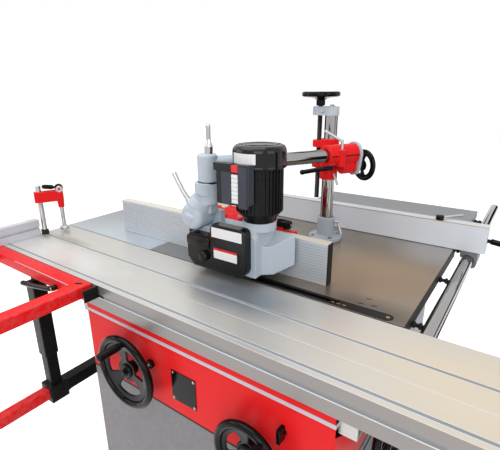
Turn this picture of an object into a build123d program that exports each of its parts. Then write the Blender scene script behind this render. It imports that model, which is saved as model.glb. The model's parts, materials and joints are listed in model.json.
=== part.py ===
from build123d import *
from math import cos, radians, sin
import os

os.makedirs("parts", exist_ok=True)

# A combination saw and spindle moulder with a sliding table and a roller feeder.
# The origin is on the floor under the middle of the cabinet. +X runs along the sliding
# table to its infeed end, +Y from the sliding table to the rip fence, +Z up. Millimetres.

# Clearances
run_gap = 0.3
shaft_gap = 0.05
table_gap = 4.0

# Cabinet
table_height = 850.0
cabinet_length = 930.0
cabinet_depth = 850.0
cabinet_wall = 4.0
base_height = 500.0
floor_plate = 6.0
anchor_radius = 7.0
anchor_inset = 60.0
dust_port_radius = 60.0
dust_port_length = 50.0
shelf_width = 160.0
shelf_plate = 5.0
lip_gap = 8.0

# Main table and its extensions
table_length = 982.0
table_depth = 720.0
table_plate = 14.0
table_rim = 45.0
rim_wall = 14.0
outfeed_length = 562.0
outfeed_depth = 490.0
rear_depth = 600.0
rear_inset = 180.0
extension_sheet = 4.0
extension_rim = 35.0

# Sliding table, its beam and its T-slots
slide_length = 2000.0
slide_width = 308.0
slide_height = 66.0
slide_lip = 16.0
slide_overhang = 546.0
slide_wall = 12.0
slide_edge = 8.0
slide_undercut = 58.0
slot_neck = 9.0
slot_neck_depth = 6.0
slot_head = 17.0
slot_head_depth = 7.0
front_slot_inset = 22.0
middle_slot_inset = 178.0
face_slot_drop = 38.0
beam_length = 1020.0
beam_width = 140.0
beam_height = 74.0
beam_inset = 31.0
beam_wall = 8.0
way_radius = 10.0
way_inset = 26.0

# Saw unit below the table
saw_x = 150.0
saw_inset = 24.0
blade_radius = 157.5
blade_thickness = 3.2
blade_drop = 7.5
insert_left = -240.0
insert_length = 721.0
insert_width = 40.0
insert_plate = 5.0
insert_ledge = 4.0
insert_slot = 16.0
slot_behind = 45.0
slot_ahead = 15.0
slot_room = 15.0
saw_flange_radius = 34.0
saw_flange = 6.0
arbor_radius = 15.0
arbor_length = 57.0
motor_flat_length = 200.0
motor_flat_height = 110.0
motor_flat_depth = 190.0
motor_flat_gap = 45.0
trunnion_plate = 12.0
trunnion_height = 240.0
trunnion_sweep = 330.0
knife_gap = 6.0
knife_width = 26.0
knife_thickness = 2.4
knife_from = 133.0
knife_to = 186.0

# Spindle unit below the table
spindle_x = -246.0
spindle_y = 15.0
spindle_radius = 15.0
spindle_nose = 120.0
spindle_hole = 95.0
spindle_drop = 6.0
spindle_core = 22.0
quill_radius = 60.0
quill_length = 170.0
quill_shoe = 34.0
quill_guide = 18.0
spindle_motor_radius = 80.0
spindle_motor_length = 210.0
spindle_flange = 34.0

# Handwheels and switch on the cabinet; a wheel's hub and openings are shares of its radius
hub_share = 0.2
hub_length_share = 2.4
opening_share = 0.27
opening_circle_share = 0.58
wheel_radius = 125.0
wheel_rim = 12.0
wheel_x = -215.0
wheel_z = 605.0
wheel_reach = 52.0
wheel_shaft = 10.0
shaft_inside = 12.0
wheel_handle_radius = 11.0
wheel_handle_length = 84.0
wheel_handle_turn = 82.0
saw_wheel_x = 250.0
saw_wheel_z = 560.0
saw_wheel_radius = 100.0
tilt_wheel_y = -180.0
lock_knob_x = -148.0
lock_knob_z = 635.0
lock_knob_radius = 14.0
lock_knob_length = 24.0
switch_x = 330.0
switch_z = 640.0
switch_radius = 24.0
switch_length = 26.0

# Outrigger, its support and the crosscut fence
outrigger_length = 611.0
outrigger_reach = 570.0
outrigger_left = -1000.0
tube_width = 52.0
tube_height = 40.0
tube_wall = 3.0
tube_drop = 0.5
clamp_lever_x = -520.0
clamp_lever_length = 183.0
clamp_lever_lift = 10.5
clamp_lever_fall = 24.0
post_x = -712.0
post_side = 52.0
post_wall = 4.0
post_sleeve_low = 470.0
post_overlap = 200.0
post_peg = 14.0
arm_height = 300.0
arm_tube = 50.0
arm_wall = 4.0
arm_pivot_y = -80.0
arm_pin = 14.0
arm_lug = 14.0
knuckle_side = 72.0
extension_reach = 190.0
extension_hold = 220.0
crosscut_length = 757.0
crosscut_height = 70.0
crosscut_depth = 35.0
crosscut_inset = 23.0
crosscut_end_y = -283.0

# Cam clamp on the sliding table
clamp_inset = 21.0
clamp_post_radius = 10.0
clamp_post_length = 215.0
clamp_foot = 24.0
clamp_foot_height = 22.0
clamp_reach = 80.0
clamp_turn = -27.0
clamp_arm_height = 46.0
clamp_arm_width = 30.0
clamp_arm_drop = 166.0
plunger_radius = 7.0
plunger_foot_radius = 19.0
plunger_foot = 9.0
cam_radius = 17.0
cam_handle_radius = 7.0
cam_handle_length = 66.0

# Spindle fence
fence_face_inset = 98.0
fence_plate_length = 400.0
fence_plate_height = 140.0
fence_plate_depth = 36.0
fence_opening = 184.0
hood_depth = 170.0
hood_height = 138.0
hood_wall = 4.0
hood_arm_height = 44.0
hood_arm_depth = 26.0
hood_arm_length = 250.0
hood_port_radius = 50.0
hood_port_length = 40.0
hood_side = 8.0
hood_arm_lift = 50.0
hood_notch = 45.0
fence_skin = 6.0
fence_lug = 42.0
fence_lug_height = 32.0
fence_knob_pin = 5.0
fence_knob_x = 62.0
fence_knob_radius = 22.0
fence_knob_height = 24.0
fence_knob_rise = 21.7

# Rip fence and its rail
rail_radius = 22.0
rail_offset = 52.0
rail_drop = 36.0
rail_length = 1580.0
rail_stud_radius = 6.0
rail_stud_nut = 10.0
rip_face_inset = 48.0
rip_length = 1000.0
rip_height = 105.0
rip_depth = 50.0
rip_lift = 1.8
rip_end_x = 623.0
rip_head_length = 116.0
rip_head_width = 60.0
rip_head_below = 66.0
rip_lever_radius = 7.0
rip_lever_length = 70.0
rip_lever_height = 48.0
rip_skin = 6.0
rip_head_inset = 2.0
rip_head_left = 28.0
rip_back_height = 80.0
rip_handle_radius = 11.0
rip_head_round = 16.0
rip_top_x = 450.0
rip_top_y = 15.0
rip_top_bar = (68.0, 75.0)
rip_top_knob = 12.0
rip_top_knob_height = 18.0
rail_studs = (-39.0, 310.0, 640.0, 1120.0)
rail_nut_length = 18.0

# Feeder column and cross-head
column_x = 47.6
column_y = 380.5
column_radius = 25.0
column_top = 1383.0
column_foot = 20.0
foot_radius = 68.0
foot_flange = 18.0
foot_boss_radius = 36.0
foot_boss_top = 948.0
bracket_height = 31.0
bracket_width = 56.0
screw_offset = 48.0
screw_radius = 10.0
screw_length = 330.0
height_wheel_radius = 72.0
height_wheel_rim = 9.0
height_wheel_depth = 20.0
height_wheel_web = 8.0
height_wheel_lift = 46.0
head_low = 1106.0
head_high = 1264.0
head_wall = 10.0
arm_turn = 62.3
arm_offset = 72.0
arm_z = 1211.0
arm_radius = 24.0
arm_reach = 543.3
arm_tail = 60.0
barrel_wall = 15.0
barrel_front = 75.0
barrel_back = 71.0
barrel_flange = 12.0
wheel_boss_drop = 50.0
wheel_boss_radius = 25.0
ear_radius = 15.0
ear_rise = 24.0
screw_lugs = ((1149.0, 1174.0), (1229.0, 1257.0))
arm_wheel_radius = 62.0
arm_wheel_rim = 8.0
arm_wheel_reach = 33.0
arm_wheel_shaft = 9.9
lever_radius = 5.0
black_lever_radius = 9.0
black_lever_pin = 10.0
hub_swell = 1.06
hub_crown = 1.3
tip_ball = 1.15
swivel_lever_radius = 7.5
elbow_handle_radius = 9.5
ear_offset = 36.0
ear_back_off = 28.0
top_lever_rise = 30.0
top_lever_bar = (-53.0, -30.0, 35.0)
low_lever_turn = -59.0
low_lever_z = 1158.0
low_lever_bar = (-100.0, -40.0, -22.0)
base_lever_z = 930.0
base_lever_bar = (18.0, 0.0, -46.0)

# Feeder elbow and swivel
elbow_radius = 32.0
elbow_low = 1162.0
elbow_high = 1252.0
elbow_hub_length = 95.0
elbow_handle_top = 1345.0
elbow_handle_base = 13.5
elbow_handle_neck = 25.0
elbow_handle_shift = (5.3, 3.8)
swivel_radius = 34.0
swivel_low = 1090.0
tilt_x = -180.0
tilt_z = 1046.0
tilt_boss_radius = 46.0
tilt_boss_front = -190.0
tilt_boss_back = -112.0
tilt_pin_radius = 14.0
tilt_ear = 26.0
swivel_floor = 12.0
swivel_lever_y = -170.0
swivel_lever_turn = 15.0
swivel_lever_bar = (-58.0, -8.0, 74.0)

# Feeder gearbox, motor and rollers
box_left = -180.0
box_right = 62.0
box_front = -158.0
box_back = -46.0
box_low = 876.0
box_high = 1014.0
box_fillet = 14.0
wing_front = -130.0
wing_nose_x = 92.0
wing_nose_y = -101.0
wing_nose_high = 974.0
wing_end_x = 140.0
wing_high = 1006.0
wing_end_low = 903.0
pocket_wall = 9.0
pocket_front = 28.0
pocket_high = 938.0
tower_back = -61.0
tower_high = 1040.0
tower_round = 18.0
neck_radius = 54.0
motor_x = 39.0
motor_y = -100.0
motor_neck = 40.0
motor_ring_radius = 52.0
motor_ring = 14.0
motor_radius = 74.0
motor_body = 153.0
cowl_radius = 83.0
cowl_height = 70.0
cowl_round = 24.0
cover_left = -194.0
cover_right = 46.0
cover_depth = 32.0
cover_low = 881.0
cover_high = 1041.0
cover_step_x = -92.0
cover_step_high = 996.0
cover_round = 16.0
cover_low_round = 30.0
switch_box_left = -53.0
switch_box_right = 70.0
switch_box_low = 1120.0
switch_box_high = 1242.0
switch_box_reach = 32.0
switch_lid_depth = 34.0
switch_neck = (-15.0, 55.0)
switch_neck_inset = 12.0
roller_radius = 36.0
roller_width = 42.0
roller_lift = 6.0
roller_first_x = -132.0
roller_pitch = 74.0
roller_axle = 9.0
roller_room = 2.0

# Places that follow from the sizes
cabinet_front = -cabinet_depth / 2
cabinet_back = cabinet_depth / 2
cabinet_left = -cabinet_length / 2
cabinet_right = cabinet_length / 2
slide_front = cabinet_front - slide_lip
slide_back = slide_front + slide_width
slide_left = cabinet_left - slide_overhang
slide_low = table_height - slide_height
beam_top = slide_low - way_radius
shelf_height = beam_top - beam_height
table_front = slide_back + table_gap
table_back = table_front + table_depth
table_left = cabinet_left
table_right = table_left + table_length
rip_face_y = table_back - rip_face_inset
table_low = table_height - table_rim
plate_low = table_height - table_plate
saw_y = table_front + saw_inset
saw_z = table_height - blade_drop - blade_radius
arm_direction = Vector(cos(radians(arm_turn)), sin(radians(arm_turn)), 0)
arm_side = Vector(sin(radians(arm_turn)), -cos(radians(arm_turn)), 0)
arm_centre = Vector(column_x, column_y, arm_z) + arm_side * arm_offset
elbow_centre = arm_centre - arm_direction * arm_reach
fence_face = table_front + fence_face_inset
fence_back = fence_face + fence_plate_depth
tube_back = slide_front - tube_drop
tube_front = tube_back - tube_width
tube_top = table_height - tube_drop
tube_low = tube_top - tube_height
rail_x = table_right + rail_offset
rail_z = table_height - rail_drop
clamp_x = slide_left + clamp_inset
clamp_y = slide_front + middle_slot_inset
crosscut_x = slide_left + crosscut_inset


def write(piece, name):
    """Label a finished piece and write it under its own name."""
    piece.label = name
    export_step(piece, f"parts/{name}.step")


def block(low, high, mode=Mode.ADD):
    """A box between two corners."""
    middle = (Vector(*low) + Vector(*high)) / 2
    size = Vector(*high) - Vector(*low)
    with Locations(middle):
        Box(size.X, size.Y, size.Z, mode=mode)


def rod(radius, start, end, mode=Mode.ADD):
    """A round bar from one point to another."""
    axis = Vector(*end) - Vector(*start)
    with Locations(Plane(origin=start, z_dir=axis)):
        Cylinder(radius, axis.length, align=(Align.CENTER, Align.CENTER, Align.MIN), mode=mode)


def handwheel(centre, outward, radius, rim, shaft_radius, shaft_length, openings=3):
    """A dished wheel with openings in its web, on a shaft that runs back into the machine."""
    web_radius = radius - rim
    opening = web_radius * opening_share
    with BuildPart(Plane(origin=centre, z_dir=outward)) as wheel:
        Torus(web_radius, rim)
        Cylinder(web_radius, rim)
        with PolarLocations(web_radius * opening_circle_share, openings):
            Cylinder(opening, rim, mode=Mode.SUBTRACT)
        Cylinder(radius * hub_share, rim * hub_length_share)
        with Locations((0, 0, -shaft_length)):
            Cylinder(shaft_radius, shaft_length, align=(Align.CENTER, Align.CENTER, Align.MIN))
    return wheel.part


def clamp_lever(seat, bend, tip, pin_radius, bar_radius):
    """A clamping lever: a round hub standing on its seat and a bar from the hub to a ball at the tip."""
    stand = (Vector(*bend) - Vector(*seat)).normalized()
    crown = Vector(*bend) + stand * hub_crown * bar_radius
    with BuildPart() as lever:
        rod(hub_swell * pin_radius, seat, tuple(crown))
        rod(bar_radius, bend, tip)
        with Locations(Plane(origin=tip, z_dir=Vector(*tip) - Vector(*bend))):
            Sphere(tip_ball * bar_radius)
    return lever.part


# Cabinet base: a folded box on a floor plate, with the lugs that carry the swing arm
base_low = (cabinet_left, cabinet_front, 0)
base_high = (cabinet_right, cabinet_back, base_height)
lug_gap = arm_tube / 2 + run_gap
with BuildPart() as cabinet_base:
    block(base_low, base_high)
    block((cabinet_left + cabinet_wall, cabinet_front + cabinet_wall, floor_plate),
          (cabinet_right - cabinet_wall, cabinet_back - cabinet_wall, base_height), Mode.SUBTRACT)
    with GridLocations(cabinet_length - 2 * anchor_inset, cabinet_depth - 2 * anchor_inset, 2, 2):
        Cylinder(anchor_radius, 3 * floor_plate, mode=Mode.SUBTRACT)
    rod(dust_port_radius, (cabinet_right, 0, base_height / 2),
        (cabinet_right + dust_port_length, 0, base_height / 2))
    rod(dust_port_radius - cabinet_wall, (cabinet_right - 2 * cabinet_wall, 0, base_height / 2),
        (cabinet_right + dust_port_length, 0, base_height / 2), Mode.SUBTRACT)
    for side in (-1, 1):
        near = arm_height + side * lug_gap
        far = arm_height + side * (lug_gap + arm_lug)
        block((post_x - arm_tube / 2, arm_pivot_y - arm_tube / 2, min(near, far)),
              (cabinet_left, arm_pivot_y + arm_tube / 2, max(near, far)))
    rod(arm_pin, (post_x, arm_pivot_y, arm_height - lug_gap),
        (post_x, arm_pivot_y, arm_height + lug_gap))
write(cabinet_base.part, "cabinet_base")

# Cabinet shell: the upper walls, with a shelf for the sliding table's beam
shell_low = base_height
lip_top = slide_low - lip_gap
shelf_back = cabinet_front + shelf_width
wheel_bore = wheel_shaft + shaft_gap
with BuildPart() as cabinet_shell:
    block((cabinet_left, cabinet_front, shell_low), (cabinet_right, cabinet_back, table_low))
    block((cabinet_left + cabinet_wall, cabinet_front + cabinet_wall, shell_low),
          (cabinet_right - cabinet_wall, cabinet_back - cabinet_wall, table_low), Mode.SUBTRACT)
    block((cabinet_left, cabinet_front, lip_top), (cabinet_right, slide_back + table_gap, table_low),
          Mode.SUBTRACT)
    block((cabinet_left, cabinet_front + cabinet_wall, shelf_height),
          (cabinet_right, shelf_back, lip_top), Mode.SUBTRACT)
    block((cabinet_left, cabinet_front, shelf_height - shelf_plate),
          (cabinet_right, shelf_back, shelf_height))
    for x, z in ((wheel_x, wheel_z), (saw_wheel_x, saw_wheel_z),
                 (lock_knob_x, lock_knob_z), (switch_x, switch_z)):
        rod(wheel_bore, (x, cabinet_front - cabinet_wall, z),
            (x, cabinet_front + 2 * cabinet_wall, z), Mode.SUBTRACT)
    rod(wheel_bore, (cabinet_right - 2 * cabinet_wall, tilt_wheel_y, saw_wheel_z),
        (cabinet_right + cabinet_wall, tilt_wheel_y, saw_wheel_z), Mode.SUBTRACT)
write(cabinet_shell.part, "cabinet_shell")

# Main table: a ground plate on a deep rim, with the saw and spindle openings and the spindle's guide
insert_right = insert_left + insert_length
insert_front = saw_y - insert_width / 2
insert_back = saw_y + insert_width / 2
guide_front = spindle_y + quill_radius + quill_shoe
with BuildPart() as main_table:
    block((table_left, table_front, table_low), (table_right, table_back, table_height))
    block((table_left + rim_wall, table_front + rim_wall, table_low),
          (table_right - rim_wall, table_back - rim_wall, plate_low), Mode.SUBTRACT)
    block((insert_left, insert_front, table_height - insert_plate),
          (insert_right - insert_width / 2, insert_back, table_height), Mode.SUBTRACT)
    rod(insert_width / 2, (insert_right - insert_width / 2, saw_y, table_height - insert_plate),
        (insert_right - insert_width / 2, saw_y, table_height), Mode.SUBTRACT)
    block((insert_left + insert_ledge, insert_front + insert_ledge, table_low),
          (insert_right - insert_width / 2, insert_back - insert_ledge, table_height), Mode.SUBTRACT)
    block((saw_x - blade_radius - slot_behind - slot_room, table_front, table_low),
          (saw_x + blade_radius + slot_ahead + slot_room, insert_back - insert_ledge,
           table_height - insert_plate), Mode.SUBTRACT)
    rod(spindle_hole, (spindle_x, spindle_y, table_low), (spindle_x, spindle_y, table_height),
        Mode.SUBTRACT)
    block((spindle_x - quill_radius, guide_front, shell_low + spindle_drop),
          (spindle_x + quill_radius, guide_front + quill_guide, plate_low))
    for side in (-1, 1):
        near = saw_x + side * (motor_flat_length / 2 + trunnion_plate + 2 * run_gap)
        far = near + side * trunnion_plate
        block((min(near, far), saw_y + motor_flat_gap, table_low - table_rim),
              (max(near, far), saw_y + motor_flat_depth, plate_low))
write(main_table.part, "main_table")

# Extension tables: folded sheet, open below
for name, low, high in (
        ("outfeed_table", (table_left - outfeed_length, table_front),
         (table_left, table_front + outfeed_depth)),
        ("rear_table", (table_left + rear_inset, table_back),
         (table_right, table_back + rear_depth))):
    with BuildPart() as extension:
        block((*low, table_height - extension_rim), (*high, table_height))
        block((low[0] + extension_sheet, low[1] + extension_sheet, table_height - extension_rim),
              (high[0] - extension_sheet, high[1] - extension_sheet, table_height - extension_sheet),
              Mode.SUBTRACT)
    write(extension.part, name)

# Saw insert: a strip with a rounded infeed end and the blade's slot
with BuildPart() as saw_insert:
    block((insert_left + run_gap, insert_front + run_gap, table_height - insert_plate),
          (insert_right - insert_width / 2, insert_back - run_gap, table_height))
    rod(insert_width / 2 - run_gap,
        (insert_right - insert_width / 2, saw_y, table_height - insert_plate),
        (insert_right - insert_width / 2, saw_y, table_height))
    block((saw_x - blade_radius - slot_behind, saw_y - insert_slot / 2, table_height - insert_plate),
          (saw_x + blade_radius + slot_ahead, saw_y + insert_slot / 2, table_height), Mode.SUBTRACT)
write(saw_insert.part, "saw_insert")

# Beam under the sliding table, with two round ways
beam_front = slide_front + beam_inset
beam_back = beam_front + beam_width
ways = (beam_front + way_inset, beam_back - way_inset)
with BuildPart() as slide_beam:
    block((-beam_length / 2, beam_front, shelf_height), (beam_length / 2, beam_back, beam_top))
    block((-beam_length / 2, beam_front + beam_wall, shelf_height + beam_wall),
          (beam_length / 2, beam_back - beam_wall, beam_top - beam_wall), Mode.SUBTRACT)
    for way_y in ways:
        rod(way_radius, (-beam_length / 2, way_y, beam_top + way_radius / 2),
            (beam_length / 2, way_y, beam_top + way_radius / 2))
write(slide_beam.part, "slide_beam")

# Sliding table: a hollow extrusion with T-slots, undercut where the blade tilts under it
hollows = ((slide_front + front_slot_inset + slot_head, slide_front + middle_slot_inset - slot_head),
           (slide_front + middle_slot_inset + slot_head, slide_back - slide_undercut))
with BuildPart() as sliding_table:
    with BuildSketch(Plane.YZ.offset(slide_left)):
        with BuildLine():
            Polyline((slide_front, slide_low), (slide_back - slide_undercut, slide_low),
                     (slide_back, table_height - slide_edge), (slide_back, table_height),
                     (slide_front, table_height), close=True)
        make_face()
        with Locations(*((way_y, beam_top + way_radius / 2) for way_y in ways)):
            Circle(way_radius + run_gap, mode=Mode.SUBTRACT)
        for slot_y in (slide_front + front_slot_inset, slide_front + middle_slot_inset):
            with Locations((slot_y, table_height - slot_neck_depth / 2)):
                Rectangle(slot_neck, slot_neck_depth, mode=Mode.SUBTRACT)
            with Locations((slot_y, table_height - slot_neck_depth - slot_head_depth / 2)):
                Rectangle(slot_head, slot_head_depth, mode=Mode.SUBTRACT)
        with Locations((slide_front + slot_neck_depth / 2, table_height - face_slot_drop)):
            Rectangle(slot_neck_depth, slot_neck, mode=Mode.SUBTRACT)
        with Locations((slide_front + slot_neck_depth + slot_head_depth / 2,
                        table_height - face_slot_drop)):
            Rectangle(slot_head_depth, slot_head, mode=Mode.SUBTRACT)
        for low_y, high_y in hollows:
            with Locations(((low_y + high_y) / 2, table_height - slide_height / 2)):
                Rectangle(high_y - low_y, slide_height - 2 * slide_wall - way_radius,
                          mode=Mode.SUBTRACT)
    extrude(amount=slide_length)
write(sliding_table.part, "sliding_table")

# Saw trunnion: two plates and a bottom bar, rounded about the blade's line on the table, where they tilt
motor_front = saw_y + motor_flat_gap
motor_back = motor_front + motor_flat_depth
trunnion_top = table_low - lip_gap
trunnion_low = trunnion_top - trunnion_height
motor_half = motor_flat_length / 2
with BuildPart() as saw_trunnion:
    for side in (-1, 1):
        near = saw_x + side * (motor_half + run_gap)
        far = near + side * trunnion_plate
        block((min(near, far), motor_front, trunnion_low), (max(near, far), motor_back, trunnion_top))
    block((saw_x - motor_half - run_gap, motor_front, trunnion_low),
          (saw_x + motor_half + run_gap, motor_back, trunnion_low + trunnion_plate))
    rod(trunnion_sweep, (saw_x - motor_flat_length, saw_y, table_height),
        (saw_x + motor_flat_length, saw_y, table_height), Mode.INTERSECT)
write(saw_trunnion.part, "saw_trunnion")

# Saw motor: a flat motor that rises between the trunnion plates, with the riving knife's bracket
motor_low = saw_z - motor_flat_height / 2
knife_seat = saw_y + knife_thickness / 2
knife_inner = blade_radius + knife_gap
bracket_left = saw_x - knife_inner - knife_width
bracket_clear = saw_x - blade_radius - knife_gap
with BuildPart() as saw_motor:
    block((saw_x - motor_half, motor_front, motor_low),
          (saw_x + motor_half, motor_back, saw_z + motor_flat_height / 2))
    rod(arbor_radius + shaft_gap, (saw_x, motor_front, saw_z),
        (saw_x, motor_front + motor_flat_gap, saw_z), Mode.SUBTRACT)
    block((saw_x - motor_half, motor_front - motor_flat_gap + 2 * saw_flange, motor_low),
          (saw_x - motor_half + trunnion_plate, motor_front, motor_low + knife_width))
    block((bracket_left, motor_front - motor_flat_gap + saw_flange, motor_low),
          (saw_x - motor_half + trunnion_plate, motor_front - motor_flat_gap + 2 * saw_flange,
           motor_low + knife_width))
    block((bracket_left, knife_seat, motor_low),
          (bracket_clear, motor_front - motor_flat_gap + saw_flange, motor_low + knife_width))
write(saw_motor.part, "saw_motor")

# Saw arbor with its two flanges
blade_front = saw_y - blade_thickness / 2
blade_back = saw_y + blade_thickness / 2
with BuildPart() as saw_arbor:
    rod(arbor_radius, (saw_x, motor_front + motor_flat_gap, saw_z),
        (saw_x, motor_front - arbor_length, saw_z))
    rod(saw_flange_radius, (saw_x, blade_front - saw_flange, saw_z), (saw_x, blade_front, saw_z))
    rod(saw_flange_radius, (saw_x, blade_back, saw_z), (saw_x, blade_back + saw_flange / 2, saw_z))
write(saw_arbor.part, "saw_arbor")

# Saw blade
with BuildPart() as saw_blade:
    rod(blade_radius, (saw_x, blade_front, saw_z), (saw_x, blade_back, saw_z))
    rod(arbor_radius, (saw_x, blade_front, saw_z), (saw_x, blade_back, saw_z), Mode.SUBTRACT)
write(saw_blade.part, "saw_blade")

# Riving knife: a curved strip behind the blade
knife_plane = Plane(origin=(saw_x, saw_y + knife_thickness / 2, saw_z), x_dir=(1, 0, 0),
                    z_dir=(0, -1, 0))
knife_outer = knife_inner + knife_width
with BuildPart() as riving_knife:
    with BuildSketch(knife_plane):
        with BuildLine():
            outer = CenterArc((0, 0), knife_outer, knife_from, knife_to - knife_from)
            inner = CenterArc((0, 0), knife_inner, knife_from, knife_to - knife_from)
            Line(outer @ 0, inner @ 0)
            Line(outer @ 1, (outer @ 1) - Vector(0, knife_width))
            Line((outer @ 1) - Vector(0, knife_width), (inner @ 1) - Vector(0, knife_width))
            Line((inner @ 1) - Vector(0, knife_width), inner @ 1)
        make_face()
    extrude(amount=knife_thickness)
write(riving_knife.part, "riving_knife")

# Spindle quill: a bored sleeve on a shoe that runs up the guide under the table
quill_top = table_height - spindle_drop - spindle_nose
quill_low = quill_top - quill_length
with BuildPart() as spindle_quill:
    rod(quill_radius, (spindle_x, spindle_y, quill_low), (spindle_x, spindle_y, quill_top))
    block((spindle_x - quill_radius, spindle_y, quill_low),
          (spindle_x + quill_radius, guide_front - run_gap, quill_top))
    rod(spindle_core + shaft_gap, (spindle_x, spindle_y, quill_low), (spindle_x, spindle_y, quill_top),
        Mode.SUBTRACT)
write(spindle_quill.part, "spindle_quill")

# Spindle shaft: a thick core in the quill and a slim nose for the cutters
collar = spindle_drop
with BuildPart() as spindle_shaft:
    rod(spindle_core, (spindle_x, spindle_y, quill_low - spindle_flange + run_gap),
        (spindle_x, spindle_y, quill_top + run_gap))
    rod(spindle_core + collar, (spindle_x, spindle_y, quill_top + run_gap),
        (spindle_x, spindle_y, quill_top + run_gap + collar))
    rod(spindle_radius, (spindle_x, spindle_y, quill_top),
        (spindle_x, spindle_y, quill_top + spindle_nose))
write(spindle_shaft.part, "spindle_shaft")

# Spindle motor, bolted under the quill
with BuildPart() as spindle_motor:
    rod(quill_radius, (spindle_x, spindle_y, quill_low - spindle_flange),
        (spindle_x, spindle_y, quill_low))
    rod(spindle_core + shaft_gap, (spindle_x, spindle_y, quill_low - spindle_flange),
        (spindle_x, spindle_y, quill_low), Mode.SUBTRACT)
    rod(spindle_motor_radius, (spindle_x, spindle_y, quill_low - spindle_flange - spindle_motor_length),
        (spindle_x, spindle_y, quill_low - spindle_flange))
write(spindle_motor.part, "spindle_motor")

# Handwheels: spindle rise with a loose handle, saw rise beside it, saw tilt on the infeed end
wheel_plane = cabinet_front - wheel_reach
wheel_stub = wheel_reach + shaft_inside
handle_pin = wheel_handle_radius / 2
handle_x = wheel_x + (wheel_radius - wheel_rim) * cos(radians(wheel_handle_turn))
handle_z = wheel_z + (wheel_radius - wheel_rim) * sin(radians(wheel_handle_turn))
handle_root = wheel_plane - wheel_rim - run_gap
handle_tip = handle_root - wheel_handle_length
with BuildPart() as spindle_rise_wheel:
    add(handwheel((wheel_x, wheel_plane, wheel_z), (0, -1, 0), wheel_radius, wheel_rim, wheel_shaft,
                  wheel_stub))
    rod(handle_pin, (handle_x, wheel_plane, handle_z), (handle_x, handle_tip + wheel_rim, handle_z))
write(spindle_rise_wheel.part, "spindle_rise_wheel")

with BuildPart() as spindle_rise_handle:
    rod(wheel_handle_radius, (handle_x, handle_root, handle_z), (handle_x, handle_tip, handle_z))
    fillet(spindle_rise_handle.edges().sort_by(Axis.Y)[0], wheel_handle_radius / 3)
    rod(handle_pin + shaft_gap, (handle_x, handle_root, handle_z),
        (handle_x, handle_tip + wheel_rim - run_gap, handle_z), Mode.SUBTRACT)
write(spindle_rise_handle.part, "spindle_rise_handle")

knob_reach = saw_wheel_radius - wheel_rim
with BuildPart() as saw_rise_wheel:
    add(handwheel((saw_wheel_x, wheel_plane, saw_wheel_z), (0, -1, 0), saw_wheel_radius, wheel_rim,
                  wheel_shaft, wheel_stub))
    rod(wheel_handle_radius, (saw_wheel_x, wheel_plane, saw_wheel_z + knob_reach),
        (saw_wheel_x, handle_tip, saw_wheel_z + knob_reach))
write(saw_rise_wheel.part, "saw_rise_wheel")

tilt_plane = cabinet_right + wheel_reach
with BuildPart() as saw_tilt_wheel:
    add(handwheel((tilt_plane, tilt_wheel_y, saw_wheel_z), (1, 0, 0), saw_wheel_radius, wheel_rim,
                  wheel_shaft, wheel_stub))
    rod(wheel_handle_radius, (tilt_plane, tilt_wheel_y, saw_wheel_z + knob_reach),
        (tilt_plane + wheel_handle_length, tilt_wheel_y, saw_wheel_z + knob_reach))
write(saw_tilt_wheel.part, "saw_tilt_wheel")

# Lock knob and main switch on the cabinet's front
knobs = (("rise_lock_knob", lock_knob_x, lock_knob_z, lock_knob_radius, lock_knob_length),
         ("main_switch", switch_x, switch_z, switch_radius, switch_length))
for name, x, z, radius, length in knobs:
    front = cabinet_front - run_gap
    with BuildPart() as knob:
        rod(radius, (x, front, z), (x, front - length, z))
        fillet(knob.edges().sort_by(Axis.Y)[0], radius / 6)
        rod(wheel_shaft, (x, front, z), (x, cabinet_front + shaft_inside, z))
    write(knob.part, name)

# Outrigger: a frame of square tube beside the sliding table, with its tongue in the face slot
outrigger_right = outrigger_left + outrigger_length
outrigger_front = tube_front - outrigger_reach
tubes = (((outrigger_left, tube_front), (outrigger_right, tube_back)),
         ((outrigger_left, outrigger_front), (outrigger_right, outrigger_front + tube_width)),
         ((outrigger_left, outrigger_front + tube_width), (outrigger_left + tube_width, tube_front)),
         ((outrigger_right - tube_width, outrigger_front + tube_width), (outrigger_right, tube_front)))
tongue_z = table_height - face_slot_drop
tongue_half = slot_neck / 2 - 2 * run_gap
with BuildPart() as outrigger_frame:
    for low, high in tubes:
        block((*low, tube_low), (*high, tube_top))
    for low, high in tubes:
        block((low[0] + tube_wall, low[1] + tube_wall, tube_low + tube_wall),
              (high[0] - tube_wall, high[1] - tube_wall, tube_top - tube_wall), Mode.SUBTRACT)
    block((outrigger_right - 2 * tube_width, tube_back, tongue_z - tongue_half),
          (outrigger_right + tube_width / 2, slide_front + slot_neck_depth, tongue_z + tongue_half))
write(outrigger_frame.part, "outrigger_frame")

# Outrigger clamp lever, low on the inner tube's face
lever_z = tube_low + clamp_lever_lift
lever_seat = (clamp_lever_x, tube_front - run_gap, lever_z)
lever_bend = (clamp_lever_x, tube_front - tube_width / 3, lever_z)
lever_tip = (clamp_lever_x - clamp_lever_length, tube_front - tube_width / 2, lever_z - clamp_lever_fall)
outrigger_lever = clamp_lever(lever_seat, lever_bend, lever_tip, black_lever_pin, black_lever_radius)
write(outrigger_lever, "outrigger_lever")

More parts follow.
